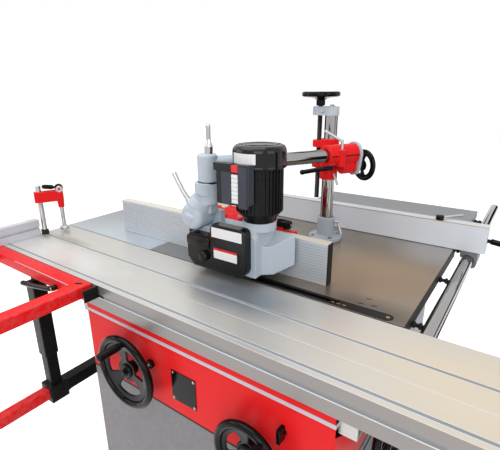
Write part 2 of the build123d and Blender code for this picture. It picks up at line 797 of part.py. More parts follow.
# Swing arm with its knuckle and the lower part of the support post
knuckle_y = tube_front + tube_width / 2
arm_half = arm_tube / 2
inner_half = arm_half - arm_wall
knuckle_half = knuckle_side / 2
post_inner = post_side - 2 * post_wall - 2 * run_gap
with BuildPart() as swing_arm:
    block((post_x - arm_half, knuckle_y, arm_height - arm_half),
          (post_x + arm_half, arm_pivot_y + arm_half, arm_height + arm_half))
    block((post_x - knuckle_half, knuckle_y - knuckle_half, arm_height - knuckle_half),
          (post_x + knuckle_half, knuckle_y + knuckle_half, arm_height + knuckle_half))
    block((post_x - post_inner / 2, knuckle_y - post_inner / 2, arm_height),
          (post_x + post_inner / 2, knuckle_y + post_inner / 2, post_sleeve_low + post_overlap))
    block((post_x - inner_half, knuckle_y - knuckle_half, arm_height - inner_half),
          (post_x + inner_half, arm_pivot_y + arm_half, arm_height + inner_half), Mode.SUBTRACT)
    rod(arm_pin + shaft_gap, (post_x, arm_pivot_y, arm_height - arm_half),
        (post_x, arm_pivot_y, arm_height + arm_half), Mode.SUBTRACT)
write(swing_arm.part, "swing_arm")

# Swing extension: the inner tube that draws out of the arm
ext_half = inner_half - run_gap
ext_front = knuckle_y - knuckle_half - extension_reach
ext_back = ext_front + extension_reach + extension_hold
with BuildPart() as swing_extension:
    block((post_x - ext_half, ext_front, arm_height - ext_half),
          (post_x + ext_half, ext_back, arm_height + ext_half))
    block((post_x - ext_half + arm_wall, ext_front + arm_wall, arm_height - ext_half + arm_wall),
          (post_x + ext_half - arm_wall, ext_back, arm_height + ext_half - arm_wall), Mode.SUBTRACT)
write(swing_extension.part, "swing_extension")

# Support post: the sleeve over the lower post, with a peg just under the outrigger
post_half = post_side / 2
post_void = post_half - post_wall
post_top = slide_low - post_wall / 2
with BuildPart() as support_post:
    block((post_x - post_half, knuckle_y - post_half, post_sleeve_low),
          (post_x + post_half, knuckle_y + post_half, post_top))
    block((post_x - post_void, knuckle_y - post_void, post_sleeve_low),
          (post_x + post_void, knuckle_y + post_void, post_top - post_wall), Mode.SUBTRACT)
    rod(post_peg, (post_x, knuckle_y, post_top), (post_x, knuckle_y, tube_low - run_gap))
write(support_post.part, "support_post")

# Crosscut fence on the outrigger, turning on a pin in the front slot
crosscut_low = table_height + run_gap
crosscut_groove = slot_neck
crosscut_back = crosscut_x - crosscut_depth
pivot_x = crosscut_x - crosscut_depth / 3
pivot_y = slide_front + front_slot_inset
with BuildPart() as crosscut_fence:
    block((crosscut_back, crosscut_end_y - crosscut_length, crosscut_low),
          (crosscut_x, crosscut_end_y, crosscut_low + crosscut_height))
    block((crosscut_x - crosscut_groove, crosscut_end_y - crosscut_length,
           crosscut_low + crosscut_height / 2 - crosscut_groove / 2),
          (crosscut_x, crosscut_end_y, crosscut_low + crosscut_height / 2 + crosscut_groove / 2),
          Mode.SUBTRACT)
    rod(slot_neck / 2 - run_gap, (pivot_x, pivot_y, table_height - slot_neck_depth),
        (pivot_x, pivot_y, crosscut_low))
write(crosscut_fence.part, "crosscut_fence")

# Cam clamp: post, arm, plunger and cam lever
clamp_tip_y = clamp_y + clamp_reach
post_axis = Axis((clamp_x, clamp_y, 0), (0, 0, 1))
clamp_top = table_height + clamp_post_length
clamp_arm_high = table_height + clamp_arm_drop + clamp_arm_height / 2
clamp_arm_low = clamp_arm_high - clamp_arm_height
cam_z = clamp_arm_high + cam_radius / 3
cam_throw = cam_radius / 4
arm_half_width = clamp_arm_width / 2
cam_half = arm_half_width / 2
cam_pin = cam_handle_radius / 2
plunger_top = cam_z - cam_radius + cam_throw - run_gap
plunger_low = table_height + clamp_foot_height / 2
with BuildPart() as clamp_post:
    block((clamp_x - clamp_foot / 2, clamp_y - clamp_foot / 2, table_height),
          (clamp_x + clamp_foot / 2, clamp_y + clamp_foot / 2, table_height + clamp_foot_height))
    rod(slot_neck / 2 - run_gap, (clamp_x, clamp_y, table_height - slot_neck_depth),
        (clamp_x, clamp_y, table_height))
    rod(clamp_post_radius, (clamp_x, clamp_y, table_height + clamp_foot_height),
        (clamp_x, clamp_y, clamp_top))
write(clamp_post.part, "clamp_post")

with BuildPart() as clamp_arm:
    block((clamp_x - arm_half_width, clamp_y - 2 * clamp_post_radius, clamp_arm_low),
          (clamp_x + arm_half_width, clamp_tip_y + 2 * plunger_radius, clamp_arm_high))
    block((clamp_x - arm_half_width, clamp_tip_y - 2 * plunger_radius, clamp_arm_high),
          (clamp_x + arm_half_width, clamp_tip_y + 2 * plunger_radius, cam_z + cam_radius / 2))
    fillet(clamp_arm.edges().filter_by(Axis.Z), clamp_arm_width / 5)
    block((clamp_x - cam_half - run_gap, clamp_y + 2 * clamp_post_radius,
           cam_z - cam_radius - cam_throw - run_gap),
          (clamp_x + cam_half + run_gap, clamp_tip_y + 2 * plunger_radius, cam_z + cam_radius),
          Mode.SUBTRACT)
    rod(clamp_post_radius + shaft_gap, (clamp_x, clamp_y, clamp_arm_low),
        (clamp_x, clamp_y, clamp_arm_high), Mode.SUBTRACT)
    rod(plunger_radius + shaft_gap, (clamp_x, clamp_tip_y, clamp_arm_low),
        (clamp_x, clamp_tip_y, cam_z), Mode.SUBTRACT)
    rod(cam_pin, (clamp_x - arm_half_width, clamp_tip_y, cam_z),
        (clamp_x + arm_half_width, clamp_tip_y, cam_z))
write(clamp_arm.part.rotate(post_axis, clamp_turn), "clamp_arm")

with BuildPart() as clamp_plunger:
    rod(plunger_radius, (clamp_x, clamp_tip_y, plunger_low), (clamp_x, clamp_tip_y, plunger_top))
    rod(plunger_foot_radius, (clamp_x, clamp_tip_y, plunger_low),
        (clamp_x, clamp_tip_y, plunger_low + plunger_foot))
write(clamp_plunger.part.rotate(post_axis, clamp_turn), "clamp_plunger")

handle_end = clamp_tip_y - cam_handle_length
with BuildPart() as clamp_cam_lever:
    rod(cam_radius, (clamp_x - cam_half, clamp_tip_y, cam_z + cam_throw),
        (clamp_x + cam_half, clamp_tip_y, cam_z + cam_throw))
    rod(cam_half, (clamp_x, clamp_tip_y, cam_z + cam_throw), (clamp_x, handle_end, cam_z + cam_radius))
    rod(cam_pin + shaft_gap, (clamp_x - cam_half, clamp_tip_y, cam_z),
        (clamp_x + cam_half, clamp_tip_y, cam_z), Mode.SUBTRACT)
write(clamp_cam_lever.part.rotate(post_axis, clamp_turn), "clamp_cam_lever")

# Spindle fence hood: a box open to the front and below, notched over the spindle, with two arms,
# a clamp lug and a dust outlet
hood_front = fence_back + run_gap
hood_back = hood_front + hood_depth
hood_left = spindle_x - fence_opening / 2 - hood_side
hood_right = spindle_x + fence_opening / 2 + hood_side
hood_low = table_height + run_gap
hood_top = hood_low + hood_height
hood_arm_low = table_height + hood_arm_lift
hood_arm_top = hood_arm_low + hood_arm_height
arm_back = hood_front + hood_arm_depth
fence_top = table_height + run_gap + fence_plate_height
lug_left = fence_knob_x - fence_lug
knob_z = fence_top + fence_knob_rise
port_z = hood_low + hood_height / 2
knob_y = hood_front + hood_arm_depth / 2
with BuildPart() as fence_hood:
    block((hood_left, hood_front, hood_low), (hood_right, hood_back, hood_top))
    rod(hood_port_radius, (spindle_x, hood_back, port_z),
        (spindle_x, hood_back + hood_port_length, port_z))
    block((hood_left + hood_wall, hood_front, hood_low),
          (hood_right - hood_wall, hood_back - hood_wall, hood_top - hood_wall), Mode.SUBTRACT)
    rod(hood_port_radius - hood_wall, (spindle_x, hood_back - hood_wall, port_z),
        (spindle_x, hood_back + hood_port_length, port_z), Mode.SUBTRACT)
    rod(hood_notch, (spindle_x, spindle_y, hood_top - hood_wall), (spindle_x, spindle_y, hood_top),
        Mode.SUBTRACT)
    block((hood_left - hood_arm_length, hood_front, hood_arm_low), (hood_left, arm_back, hood_arm_top))
    block((hood_right, hood_front, hood_arm_low),
          (hood_right + hood_arm_length, arm_back, hood_arm_top))
    block((lug_left, hood_front, hood_arm_top), (fence_knob_x, arm_back, fence_top + fence_lug_height))
    rod(fence_knob_pin + shaft_gap, (lug_left, knob_y, knob_z), (fence_knob_x, knob_y, knob_z),
        Mode.SUBTRACT)
write(fence_hood.part, "fence_hood")

# Spindle fence plates: two capped hollow extrusions either side of the cutter
plate_edges = (("fence_plate_left", spindle_x - fence_opening / 2 - fence_plate_length),
               ("fence_plate_right", spindle_x + fence_opening / 2))
for name, left in plate_edges:
    right = left + fence_plate_length
    with BuildPart() as plate:
        block((left, fence_face, hood_low), (right, fence_back, fence_top))
        block((left + fence_skin, fence_face + fence_skin, hood_low + fence_skin),
              (right - fence_skin, fence_back - fence_skin, fence_top - fence_skin), Mode.SUBTRACT)
    write(plate.part, name)

# Spindle fence clamp knob
knob_left = fence_knob_x + run_gap
with BuildPart() as fence_knob:
    rod(fence_knob_radius, (knob_left, knob_y, knob_z), (knob_left + fence_knob_height, knob_y, knob_z))
    fillet(fence_knob.edges().sort_by(Axis.X)[-1], fence_knob_pin)
    rod(fence_knob_pin, (lug_left, knob_y, knob_z), (knob_left, knob_y, knob_z))
write(fence_knob.part, "fence_knob")

# Rip fence rail: a round bar on studs along the infeed edge of the tables
rail_front = table_front
with BuildPart() as rip_rail:
    rod(rail_radius, (rail_x, rail_front, rail_z), (rail_x, rail_front + rail_length, rail_z))
    fillet(rip_rail.edges(), rail_radius / 4)
    for stud_y in rail_studs:
        rod(rail_stud_radius, (table_right, stud_y, rail_z), (rail_x, stud_y, rail_z))
        rod(rail_stud_nut, (table_right, stud_y, rail_z),
            (table_right + rail_nut_length, stud_y, rail_z))
write(rip_rail.part, "rip_rail")

# Rip fence head: a hook over the rail, open on the stud side, with an upright behind the bar
head_left = rail_x - rip_head_left
head_right = head_left + rip_head_width
head_front = rip_face_y + rip_head_inset
head_back = head_front + rip_head_length
head_top = table_height + rip_lift - run_gap
head_bottom = head_top - rip_head_below
bar_back = rip_face_y + rip_depth
stud_way = rail_stud_radius + 2 * rip_head_inset
with BuildPart() as rip_fence_head:
    block((head_left, head_front, head_bottom), (head_right, head_back, head_top))
    fillet(rip_fence_head.edges().filter_by(Axis.Y).group_by(Axis.Z)[0], rip_head_round)
    block((head_left, bar_back + run_gap, head_top),
          (head_right, head_back, head_top + rip_back_height))
    rod(rail_radius + shaft_gap, (rail_x, head_front, rail_z), (rail_x, head_back, rail_z),
        Mode.SUBTRACT)
    block((head_left, head_front, rail_z - stud_way), (rail_x, head_back, rail_z + stud_way),
          Mode.SUBTRACT)
write(rip_fence_head.part, "rip_fence_head")

# Rip fence bar: a capped hollow extrusion
bar_left = rip_end_x - rip_length
bar_low = table_height + rip_lift
with BuildPart() as rip_fence_bar:
    block((bar_left, rip_face_y, bar_low), (rip_end_x, bar_back, bar_low + rip_height))
    block((bar_left + rip_skin, rip_face_y + rip_skin, bar_low + rip_skin),
          (rip_end_x - rip_skin, bar_back - rip_skin, bar_low + rip_height - rip_skin), Mode.SUBTRACT)
write(rip_fence_bar.part, "rip_fence_bar")

# Rip fence clamp lever, on the end of the bar
rip_seat = Vector(rip_end_x + run_gap, rip_face_y + rip_depth / 2, bar_low + rip_lever_height)
rip_bend = rip_seat + Vector(rip_skin + rip_lever_radius, 0, 0)
rip_tip = rip_bend + Vector(rip_lever_length, -rip_depth / 2, 0)
rip_clamp_lever = clamp_lever(tuple(rip_seat), tuple(rip_bend), tuple(rip_tip), rip_lever_radius,
                              rip_handle_radius)
write(rip_clamp_lever, "rip_clamp_lever")

# Rip fence top lever: a round knob on the bar with a slim lever from it
top_lever_low = bar_low + rip_height + run_gap
top_root = Vector(rip_top_x, rip_face_y + rip_top_y, top_lever_low)
top_middle = top_root + Vector(0, 0, rip_top_knob_height / 2)
with BuildPart() as rip_top_lever:
    rod(rip_top_knob, tuple(top_root), tuple(top_root + Vector(0, 0, rip_top_knob_height)))
    rod(rip_lever_radius / 2, tuple(top_middle), tuple(top_middle + Vector(*rip_top_bar, 0)))
write(rip_top_lever.part, "rip_top_lever")

# Feeder base: a flanged foot on the main table with a bored boss
column_low = table_height + column_foot
with BuildPart() as feeder_base:
    rod(foot_radius, (column_x, column_y, table_height),
        (column_x, column_y, table_height + foot_flange))
    rod(foot_boss_radius, (column_x, column_y, table_height), (column_x, column_y, foot_boss_top))
    rod(column_radius + shaft_gap, (column_x, column_y, column_low),
        (column_x, column_y, foot_boss_top), Mode.SUBTRACT)
write(feeder_base.part, "feeder_base")

# Feeder column with the bracket that carries the height screw
bracket_low = column_top - bracket_height
screw_x = column_x - screw_offset
with BuildPart() as feeder_column:
    rod(column_radius, (column_x, column_y, column_low), (column_x, column_y, column_top))
    block((screw_x, column_y - bracket_width / 2, bracket_low),
          (column_x, column_y + bracket_width / 2, column_top))
    for x in (screw_x, column_x):
        rod(bracket_width / 2, (x, column_y, bracket_low), (x, column_y, column_top))
    rod(screw_radius + shaft_gap, (screw_x, column_y, bracket_low), (screw_x, column_y, column_top),
        Mode.SUBTRACT)
write(feeder_column.part, "feeder_column")

# Feeder height wheel: a dished disc with a deep rim, and its screw
height_wheel_z = column_top + height_wheel_lift
screw_low = bracket_low - screw_length
with BuildPart(Plane(origin=(screw_x, column_y, height_wheel_z))) as feeder_height_wheel:
    Cylinder(height_wheel_radius, height_wheel_depth)
    fillet(feeder_height_wheel.edges(), height_wheel_rim / 2)
    for side in (-1, 1):
        with Locations((0, 0, side * (height_wheel_depth + height_wheel_web) / 2)):
            Cylinder(height_wheel_radius - height_wheel_rim, height_wheel_depth, mode=Mode.SUBTRACT)
    Cylinder(2 * screw_radius, height_wheel_depth)
    with Locations((0, 0, screw_low - height_wheel_z)):
        Cylinder(screw_radius, height_wheel_z - screw_low, align=(Align.CENTER, Align.CENTER, Align.MIN))
write(feeder_height_wheel.part, "feeder_height_wheel")

# Cross-head: a boss on the column, a lug round the screw and the barrel that holds the arm
head_radius = column_radius + head_wall
barrel_radius = arm_radius + barrel_wall
lug_half = screw_radius + barrel_wall
barrel_start = arm_centre - arm_direction * barrel_front
barrel_end = arm_centre + arm_direction * barrel_back
barrel_cap = barrel_end + arm_direction * barrel_flange
boss_fall = Vector(0, 0, wheel_boss_drop)
ear_centre = arm_centre + arm_side * ear_offset - arm_direction * ear_back_off
with BuildPart() as feeder_crosshead:
    rod(head_radius, (column_x, column_y, head_low), (column_x, column_y, head_high))
    for low, high in screw_lugs:
        block((screw_x, column_y - lug_half, low), (column_x, column_y + lug_half, high))
        rod(lug_half, (screw_x, column_y, low), (screw_x, column_y, high))
    rod(barrel_radius, tuple(barrel_start), tuple(barrel_cap))
    rod(wheel_boss_radius, tuple(arm_centre - boss_fall), tuple(barrel_cap - boss_fall))
    with Locations(Plane(origin=tuple(arm_centre - boss_fall / 2), x_dir=tuple(arm_side),
                         z_dir=tuple(arm_direction))):
        Box(2 * wheel_boss_radius, wheel_boss_drop, barrel_back + barrel_flange,
            align=(Align.CENTER, Align.CENTER, Align.MIN))
    rod(arm_radius, (column_x, column_y, arm_z), tuple(arm_centre))
    rod(ear_radius, (ear_centre.X, ear_centre.Y, arm_z - barrel_radius),
        (ear_centre.X, ear_centre.Y, arm_z + ear_rise))
    rod(arm_radius + shaft_gap, tuple(barrel_start), tuple(barrel_end), Mode.SUBTRACT)
    rod(column_radius + shaft_gap, (column_x, column_y, head_low), (column_x, column_y, head_high),
        Mode.SUBTRACT)
    rod(screw_radius + shaft_gap, (screw_x, column_y, head_low), (screw_x, column_y, head_high),
        Mode.SUBTRACT)
    rod(arm_wheel_shaft + shaft_gap, tuple(barrel_end - boss_fall), tuple(barrel_cap - boss_fall),
        Mode.SUBTRACT)
write(feeder_crosshead.part, "feeder_crosshead")

# Cross-head levers: a bent one over the barrel's ear and a straight one on the column boss
top_seat = Vector(ear_centre.X, ear_centre.Y, arm_z + ear_rise + run_gap)
top_bend = top_seat + Vector(0, 0, top_lever_rise)
top_tip = top_bend + Vector(*top_lever_bar)
crosshead_top_lever = clamp_lever(tuple(top_seat), tuple(top_bend), tuple(top_tip), lever_radius,
                                  lever_radius)
write(crosshead_top_lever, "crosshead_top_lever")

low_out = Vector(cos(radians(low_lever_turn)), sin(radians(low_lever_turn)), 0)
low_seat = Vector(column_x, column_y, low_lever_z) + low_out * (head_radius + run_gap)
low_bend = low_seat + low_out * ear_radius
low_tip = low_bend + Vector(*low_lever_bar)
crosshead_low_lever = clamp_lever(tuple(low_seat), tuple(low_bend), tuple(low_tip), black_lever_pin,
                                  black_lever_radius)
write(crosshead_low_lever, "crosshead_low_lever")

# Base lever, on the side of the column base
base_seat = Vector(column_x + foot_boss_radius + run_gap, column_y, base_lever_z)
base_bend = base_seat + Vector(3 * lever_radius, 0, 0)
base_tip = base_bend + Vector(*base_lever_bar)
base_lever = clamp_lever(tuple(base_seat), tuple(base_bend), tuple(base_tip), lever_radius,
                         lever_radius)
write(base_lever, "base_lever")

# Feeder arm and the handwheel that draws it
with BuildPart() as feeder_arm:
    rod(arm_radius, tuple(elbow_centre), tuple(arm_centre + arm_direction * arm_tail))
write(feeder_arm.part, "feeder_arm")

arm_wheel_centre = barrel_cap - boss_fall + arm_direction * arm_wheel_reach
arm_stub = arm_wheel_reach + barrel_flange
feeder_arm_wheel = handwheel(tuple(arm_wheel_centre), tuple(arm_direction), arm_wheel_radius,
                             arm_wheel_rim, arm_wheel_shaft, arm_stub)
write(feeder_arm_wheel, "feeder_arm_wheel")

# Elbow on the end of the arm, with its tall handle and the pin for the swivel
elbow_x = elbow_centre.X
elbow_y = elbow_centre.Y
grip_x = elbow_x + elbow_handle_shift[0]
grip_y = elbow_y + elbow_handle_shift[1]
hub_end = elbow_centre + arm_direction * elbow_hub_length
with BuildPart() as feeder_elbow:
    rod(elbow_radius, (elbow_x, elbow_y, elbow_low), (elbow_x, elbow_y, elbow_high))
    fillet(feeder_elbow.edges().sort_by(Axis.Z)[-1], elbow_radius / 4)
    rod(elbow_radius, tuple(elbow_centre), tuple(hub_end))
    rod(arm_radius + shaft_gap, tuple(elbow_centre - arm_direction * run_gap), tuple(hub_end),
        Mode.SUBTRACT)
    rod(elbow_handle_base, (grip_x, grip_y, elbow_high),
        (grip_x, grip_y, elbow_high + elbow_handle_neck))
    rod(elbow_handle_radius, (grip_x, grip_y, elbow_high), (grip_x, grip_y, elbow_handle_top))
    rod(tilt_pin_radius, (elbow_x, elbow_y, swivel_low + swivel_floor + run_gap),
        (elbow_x, elbow_y, elbow_low))
write(feeder_elbow.part, "feeder_elbow")

# Swivel under the elbow, with the cross boss that the gearbox tilts on
with BuildPart() as feeder_swivel:
    rod(swivel_radius, (elbow_x, elbow_y, swivel_low), (elbow_x, elbow_y, elbow_low - run_gap))
    rod(tilt_boss_radius, (tilt_x, tilt_boss_front, tilt_z), (tilt_x, tilt_boss_back, tilt_z))
    fillet(feeder_swivel.edges().sort_by(Axis.Y)[0], tilt_boss_radius / 2.5)
    block((tilt_x - swivel_radius, elbow_y - swivel_radius / 2, tilt_z + swivel_floor),
          (elbow_x + swivel_radius - swivel_floor, tilt_boss_back, swivel_low + swivel_floor))
    rod(tilt_pin_radius + shaft_gap, (elbow_x, elbow_y, swivel_low + swivel_floor),
        (elbow_x, elbow_y, elbow_low), Mode.SUBTRACT)
    rod(tilt_pin_radius + shaft_gap, (tilt_x, tilt_boss_front + swivel_floor, tilt_z),
        (tilt_x, tilt_boss_back, tilt_z), Mode.SUBTRACT)
write(feeder_swivel.part, "feeder_swivel")

# Swivel lever, standing off the cross boss to the left
swivel_out = Vector(-sin(radians(swivel_lever_turn)), 0, cos(radians(swivel_lever_turn)))
swivel_seat = Vector(tilt_x, swivel_lever_y, tilt_z) + swivel_out * (tilt_boss_radius + run_gap)
swivel_bend = swivel_seat + swivel_out * swivel_floor
swivel_tip = swivel_bend + Vector(*swivel_lever_bar)
swivel_lever = clamp_lever(tuple(swivel_seat), tuple(swivel_bend), tuple(swivel_tip), black_lever_pin,
                           swivel_lever_radius)
write(swivel_lever, "swivel_lever")

# Roller guard wing on the infeed side of the gearbox
with BuildPart() as wing:
    with BuildSketch(Plane.XY.offset(box_low)):
        with BuildLine():
            Polyline((box_right - pocket_wall, wing_front), (wing_nose_x, wing_nose_y),
                     (wing_end_x, box_back),
                     (box_right - pocket_wall, box_back), close=True)
        make_face()
    extrude(amount=wing_high - box_low)
    with BuildSketch(Plane.YZ):
        with BuildLine():
            Polyline((wing_front, box_low), (box_back, box_low), (box_back, wing_high),
                     (wing_nose_y, wing_nose_high), (wing_front, wing_nose_high), close=True)
        make_face()
    extrude(amount=wing_end_x, mode=Mode.INTERSECT)
    with BuildSketch(Plane.XZ.offset(-wing_front)):
        with BuildLine():
            Polyline((wing_nose_x, box_low), (wing_end_x, box_low), (wing_end_x, wing_end_low), close=True)
        make_face()
    extrude(amount=2 * wing_front, mode=Mode.SUBTRACT)

# Gearbox: a cast box with the roller pocket below, the motor's tower above and the tilt ear on its left
ear_front = tilt_boss_back + run_gap
ear_back = ear_front + tilt_ear
roller_z = table_height + roller_lift + roller_radius
roller_places = [roller_first_x + roller_pitch * i for i in range(3)]
pocket_low_y = box_front + pocket_front
pocket_high_y = pocket_low_y + roller_width + 2 * run_gap
axle_front = box_front + pocket_wall
axle_back = pocket_high_y + pocket_front - pocket_wall
tower_left = motor_x - neck_radius
tower_low = box_high - box_fillet
neck_top = box_high + motor_neck
with BuildPart() as feeder_gearbox:
    block((box_left, box_front, box_low), (box_right, box_back, box_high))
    fillet(feeder_gearbox.edges().filter_by(Axis.Y).group_by(Axis.Z)[-1], box_fillet)
    with BuildSketch(Plane.XY.offset(tower_low)):
        with Locations(((tower_left + box_right) / 2, (box_front + tower_back) / 2)):
            RectangleRounded(box_right - tower_left, tower_back - box_front, tower_round)
    extrude(amount=tower_high - tower_low)
    rod(neck_radius, (motor_x, motor_y, tower_high - box_fillet), (motor_x, motor_y, neck_top))
    add(wing.part)
    rod(tilt_boss_radius - swivel_floor / 2, (tilt_x, ear_front, tilt_z), (tilt_x, ear_back, tilt_z))
    block((tilt_x, ear_front, box_high - box_fillet),
          (tilt_x + 2 * swivel_radius, ear_back, tilt_z + box_fillet))
    rod(tilt_boss_radius + 2 * run_gap, (tilt_x, tilt_boss_front, tilt_z), (tilt_x, ear_front, tilt_z),
        Mode.SUBTRACT)
    rod(tilt_pin_radius, (tilt_x, tilt_boss_front + swivel_floor + run_gap, tilt_z),
        (tilt_x, ear_back, tilt_z))
    block((box_left + pocket_wall, pocket_low_y, box_low),
          (roller_places[-1] + roller_radius + roller_room, pocket_high_y, pocket_high),
          Mode.SUBTRACT)
    for x in roller_places:
        rod(roller_axle + shaft_gap, (x, axle_front, roller_z), (x, axle_back, roller_z), Mode.SUBTRACT)
write(feeder_gearbox.part, "feeder_gearbox")

# Feeder motor: bottom ring, finned body and domed cowl
ring_top = neck_top + motor_ring
cowl_low = ring_top + motor_body
cowl_top = cowl_low + cowl_height
with BuildPart() as feeder_motor:
    rod(motor_ring_radius, (motor_x, motor_y, neck_top), (motor_x, motor_y, ring_top))
    rod(motor_radius, (motor_x, motor_y, ring_top), (motor_x, motor_y, cowl_low))
    rod(cowl_radius, (motor_x, motor_y, cowl_low), (motor_x, motor_y, cowl_top))
    fillet(feeder_motor.edges().sort_by(Axis.Z)[-1], cowl_round)
write(feeder_motor.part, "feeder_motor")

# Front cover of the gearbox, stepped down on its left
with BuildPart() as feeder_cover:
    with BuildSketch(Plane.XZ.offset(-box_front)):
        with BuildLine():
            Polyline((cover_left, cover_low), (cover_right, cover_low), (cover_right, cover_high),
                     (cover_step_x, cover_high), (cover_step_x, cover_step_high),
                     (cover_left, cover_step_high), close=True)
        make_face()
    extrude(amount=cover_depth)
    fillet(feeder_cover.edges().filter_by(Axis.Y).sort_by(Axis.Z)[2:], cover_round)
    fillet(feeder_cover.edges().filter_by(Axis.Y).sort_by(Axis.Z)[:2], cover_low_round)
write(feeder_cover.part, "feeder_cover")

# Switch box on the front of the motor: a wide lid on a narrower neck
lid_front = motor_y - motor_radius - switch_box_reach
with BuildPart() as switch_box:
    block((switch_box_left, lid_front, switch_box_low),
          (switch_box_right, lid_front + switch_lid_depth, switch_box_high))
    block((switch_neck[0], lid_front, switch_box_low + switch_neck_inset),
          (switch_neck[1], motor_y, switch_box_high - switch_neck_inset))
    rod(motor_radius, (motor_x, motor_y, switch_box_low), (motor_x, motor_y, switch_box_high),
        Mode.SUBTRACT)
    rod(cowl_radius, (motor_x, motor_y, cowl_low), (motor_x, motor_y, switch_box_high), Mode.SUBTRACT)
write(switch_box.part, "switch_box")

# Feed rollers on their axles
for number, x in enumerate(roller_places, 1):
    with BuildPart() as roller:
        rod(roller_radius, (x, pocket_low_y + run_gap, roller_z),
            (x, pocket_high_y - run_gap, roller_z))
        rod(roller_axle, (x, axle_front, roller_z), (x, axle_back, roller_z))
    write(roller.part, f"feeder_roller_{number}")
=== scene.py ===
"""Looks of a combination saw and spindle moulder with a power feeder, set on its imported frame."""
import json
import math

import bmesh
import bpy
from mathutils import Matrix, Vector


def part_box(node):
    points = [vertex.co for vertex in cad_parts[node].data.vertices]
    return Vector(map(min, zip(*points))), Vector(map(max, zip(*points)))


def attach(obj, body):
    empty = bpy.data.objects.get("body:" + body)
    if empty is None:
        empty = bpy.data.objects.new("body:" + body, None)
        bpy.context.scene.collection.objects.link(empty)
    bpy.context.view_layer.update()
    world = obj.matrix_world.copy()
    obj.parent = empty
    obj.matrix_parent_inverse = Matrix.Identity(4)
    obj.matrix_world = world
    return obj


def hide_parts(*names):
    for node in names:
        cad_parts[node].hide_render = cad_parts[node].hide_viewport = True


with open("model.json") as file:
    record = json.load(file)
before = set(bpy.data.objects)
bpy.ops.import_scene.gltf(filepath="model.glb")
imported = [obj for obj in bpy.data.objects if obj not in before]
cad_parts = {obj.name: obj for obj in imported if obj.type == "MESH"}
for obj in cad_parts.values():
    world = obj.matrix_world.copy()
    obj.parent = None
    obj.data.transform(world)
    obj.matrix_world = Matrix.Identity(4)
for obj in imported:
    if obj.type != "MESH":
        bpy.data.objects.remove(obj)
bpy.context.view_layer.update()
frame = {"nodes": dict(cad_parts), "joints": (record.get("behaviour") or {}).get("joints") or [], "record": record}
nodes = frame["nodes"]
MM = 0.001
LEFT, RIGHT, FRONT, BACK, UP = (-1, 0, 0), (1, 0, 0), (0, -1, 0), (0, 1, 0), (0, 0, 1)


# Shader helpers

def add(tree, kind, inputs=None, **settings):
    """Add a node, set its properties, and fill or link its inputs."""
    made = tree.nodes.new(kind)
    for key, value in settings.items():
        setattr(made, key, value)
    for key, value in (inputs or {}).items():
        if isinstance(value, bpy.types.NodeSocket):
            tree.links.new(value, made.inputs[key])
        else:
            made.inputs[key].default_value = value
    return made


def noise(tree, vector, scale, detail=3.0, rough=0.5):
    return add(tree, "ShaderNodeTexNoise", {"Vector": vector, "Scale": scale, "Detail": detail,
                                            "Roughness": rough}).outputs["Fac"]


def remap(tree, value, start, end, low=0.0, high=1.0):
    return add(tree, "ShaderNodeMapRange", {"Value": value, "From Min": start, "From Max": end,
                                            "To Min": low, "To Max": high}).outputs["Result"]


def blend(tree, factor, first, second):
    return add(tree, "ShaderNodeMix", {0: factor, 6: first, 7: second}, data_type="RGBA").outputs[2]


def maths(tree, operation, first, second):
    return add(tree, "ShaderNodeMath", {0: first, 1: second}, operation=operation).outputs[0]


def stretched(tree, vector, scale):
    return add(tree, "ShaderNodeMapping", {"Vector": vector, "Scale": scale}).outputs[0]


def seen_plainly(tree):
    """A mask of the rays that show a white backdrop: to the eye, in mirrors and through glass."""
    path = add(tree, "ShaderNodeLightPath").outputs
    seen = maths(tree, "MAXIMUM", path["Is Camera Ray"], path["Is Glossy Ray"])
    return maths(tree, "MAXIMUM", seen, path["Is Transmission Ray"])


def new_group(name, inputs, outputs):
    """An empty shader group with named sockets, and its input and output sockets."""
    tree = bpy.data.node_groups.new(name, "ShaderNodeTree")
    for label, kind, value in inputs:
        socket = tree.interface.new_socket(label, in_out="INPUT", socket_type="NodeSocket" + kind)
        if value is not None:
            socket.default_value = value
    for label, kind in outputs:
        tree.interface.new_socket(label, in_out="OUTPUT", socket_type="NodeSocket" + kind)
    return tree, add(tree, "NodeGroupInput").outputs, add(tree, "NodeGroupOutput").inputs


def smudge_group():
    """Handling marks and settled dust: a soft, cloudy mask."""
    tree, given, result = new_group(
        "smudges", (("Vector", "Vector", None), ("Scale", "Float", 6.0), ("Contrast", "Float", 0.3)),
        (("Mask", "Float"),))
    cloud = noise(tree, given["Vector"], given["Scale"], 5.0, 0.6)
    low = maths(tree, "SUBTRACT", 0.5, given["Contrast"])
    high = maths(tree, "ADD", 0.5, given["Contrast"])
    tree.links.new(remap(tree, cloud, low, high), result["Mask"])
    return tree


def grain_group():
    """Fine surface texture: sprayed paint, sand casting or moulded plastic, by scale."""
    tree, given, result = new_group(
        "surface grain", (("Vector", "Vector", None), ("Scale", "Float", 400.0), ("Pits", "Float", 0.3)),
        (("Height", "Float"),))
    fine = noise(tree, given["Vector"], given["Scale"], 2.0, 0.5)
    cell = add(tree, "ShaderNodeTexVoronoi", {"Vector": given["Vector"], "Scale": given["Scale"]})
    pit = maths(tree, "MULTIPLY", remap(tree, cell.outputs["Distance"], 0.0, 0.7), given["Pits"])
    tree.links.new(maths(tree, "ADD", fine, pit), result["Height"])
    return tree


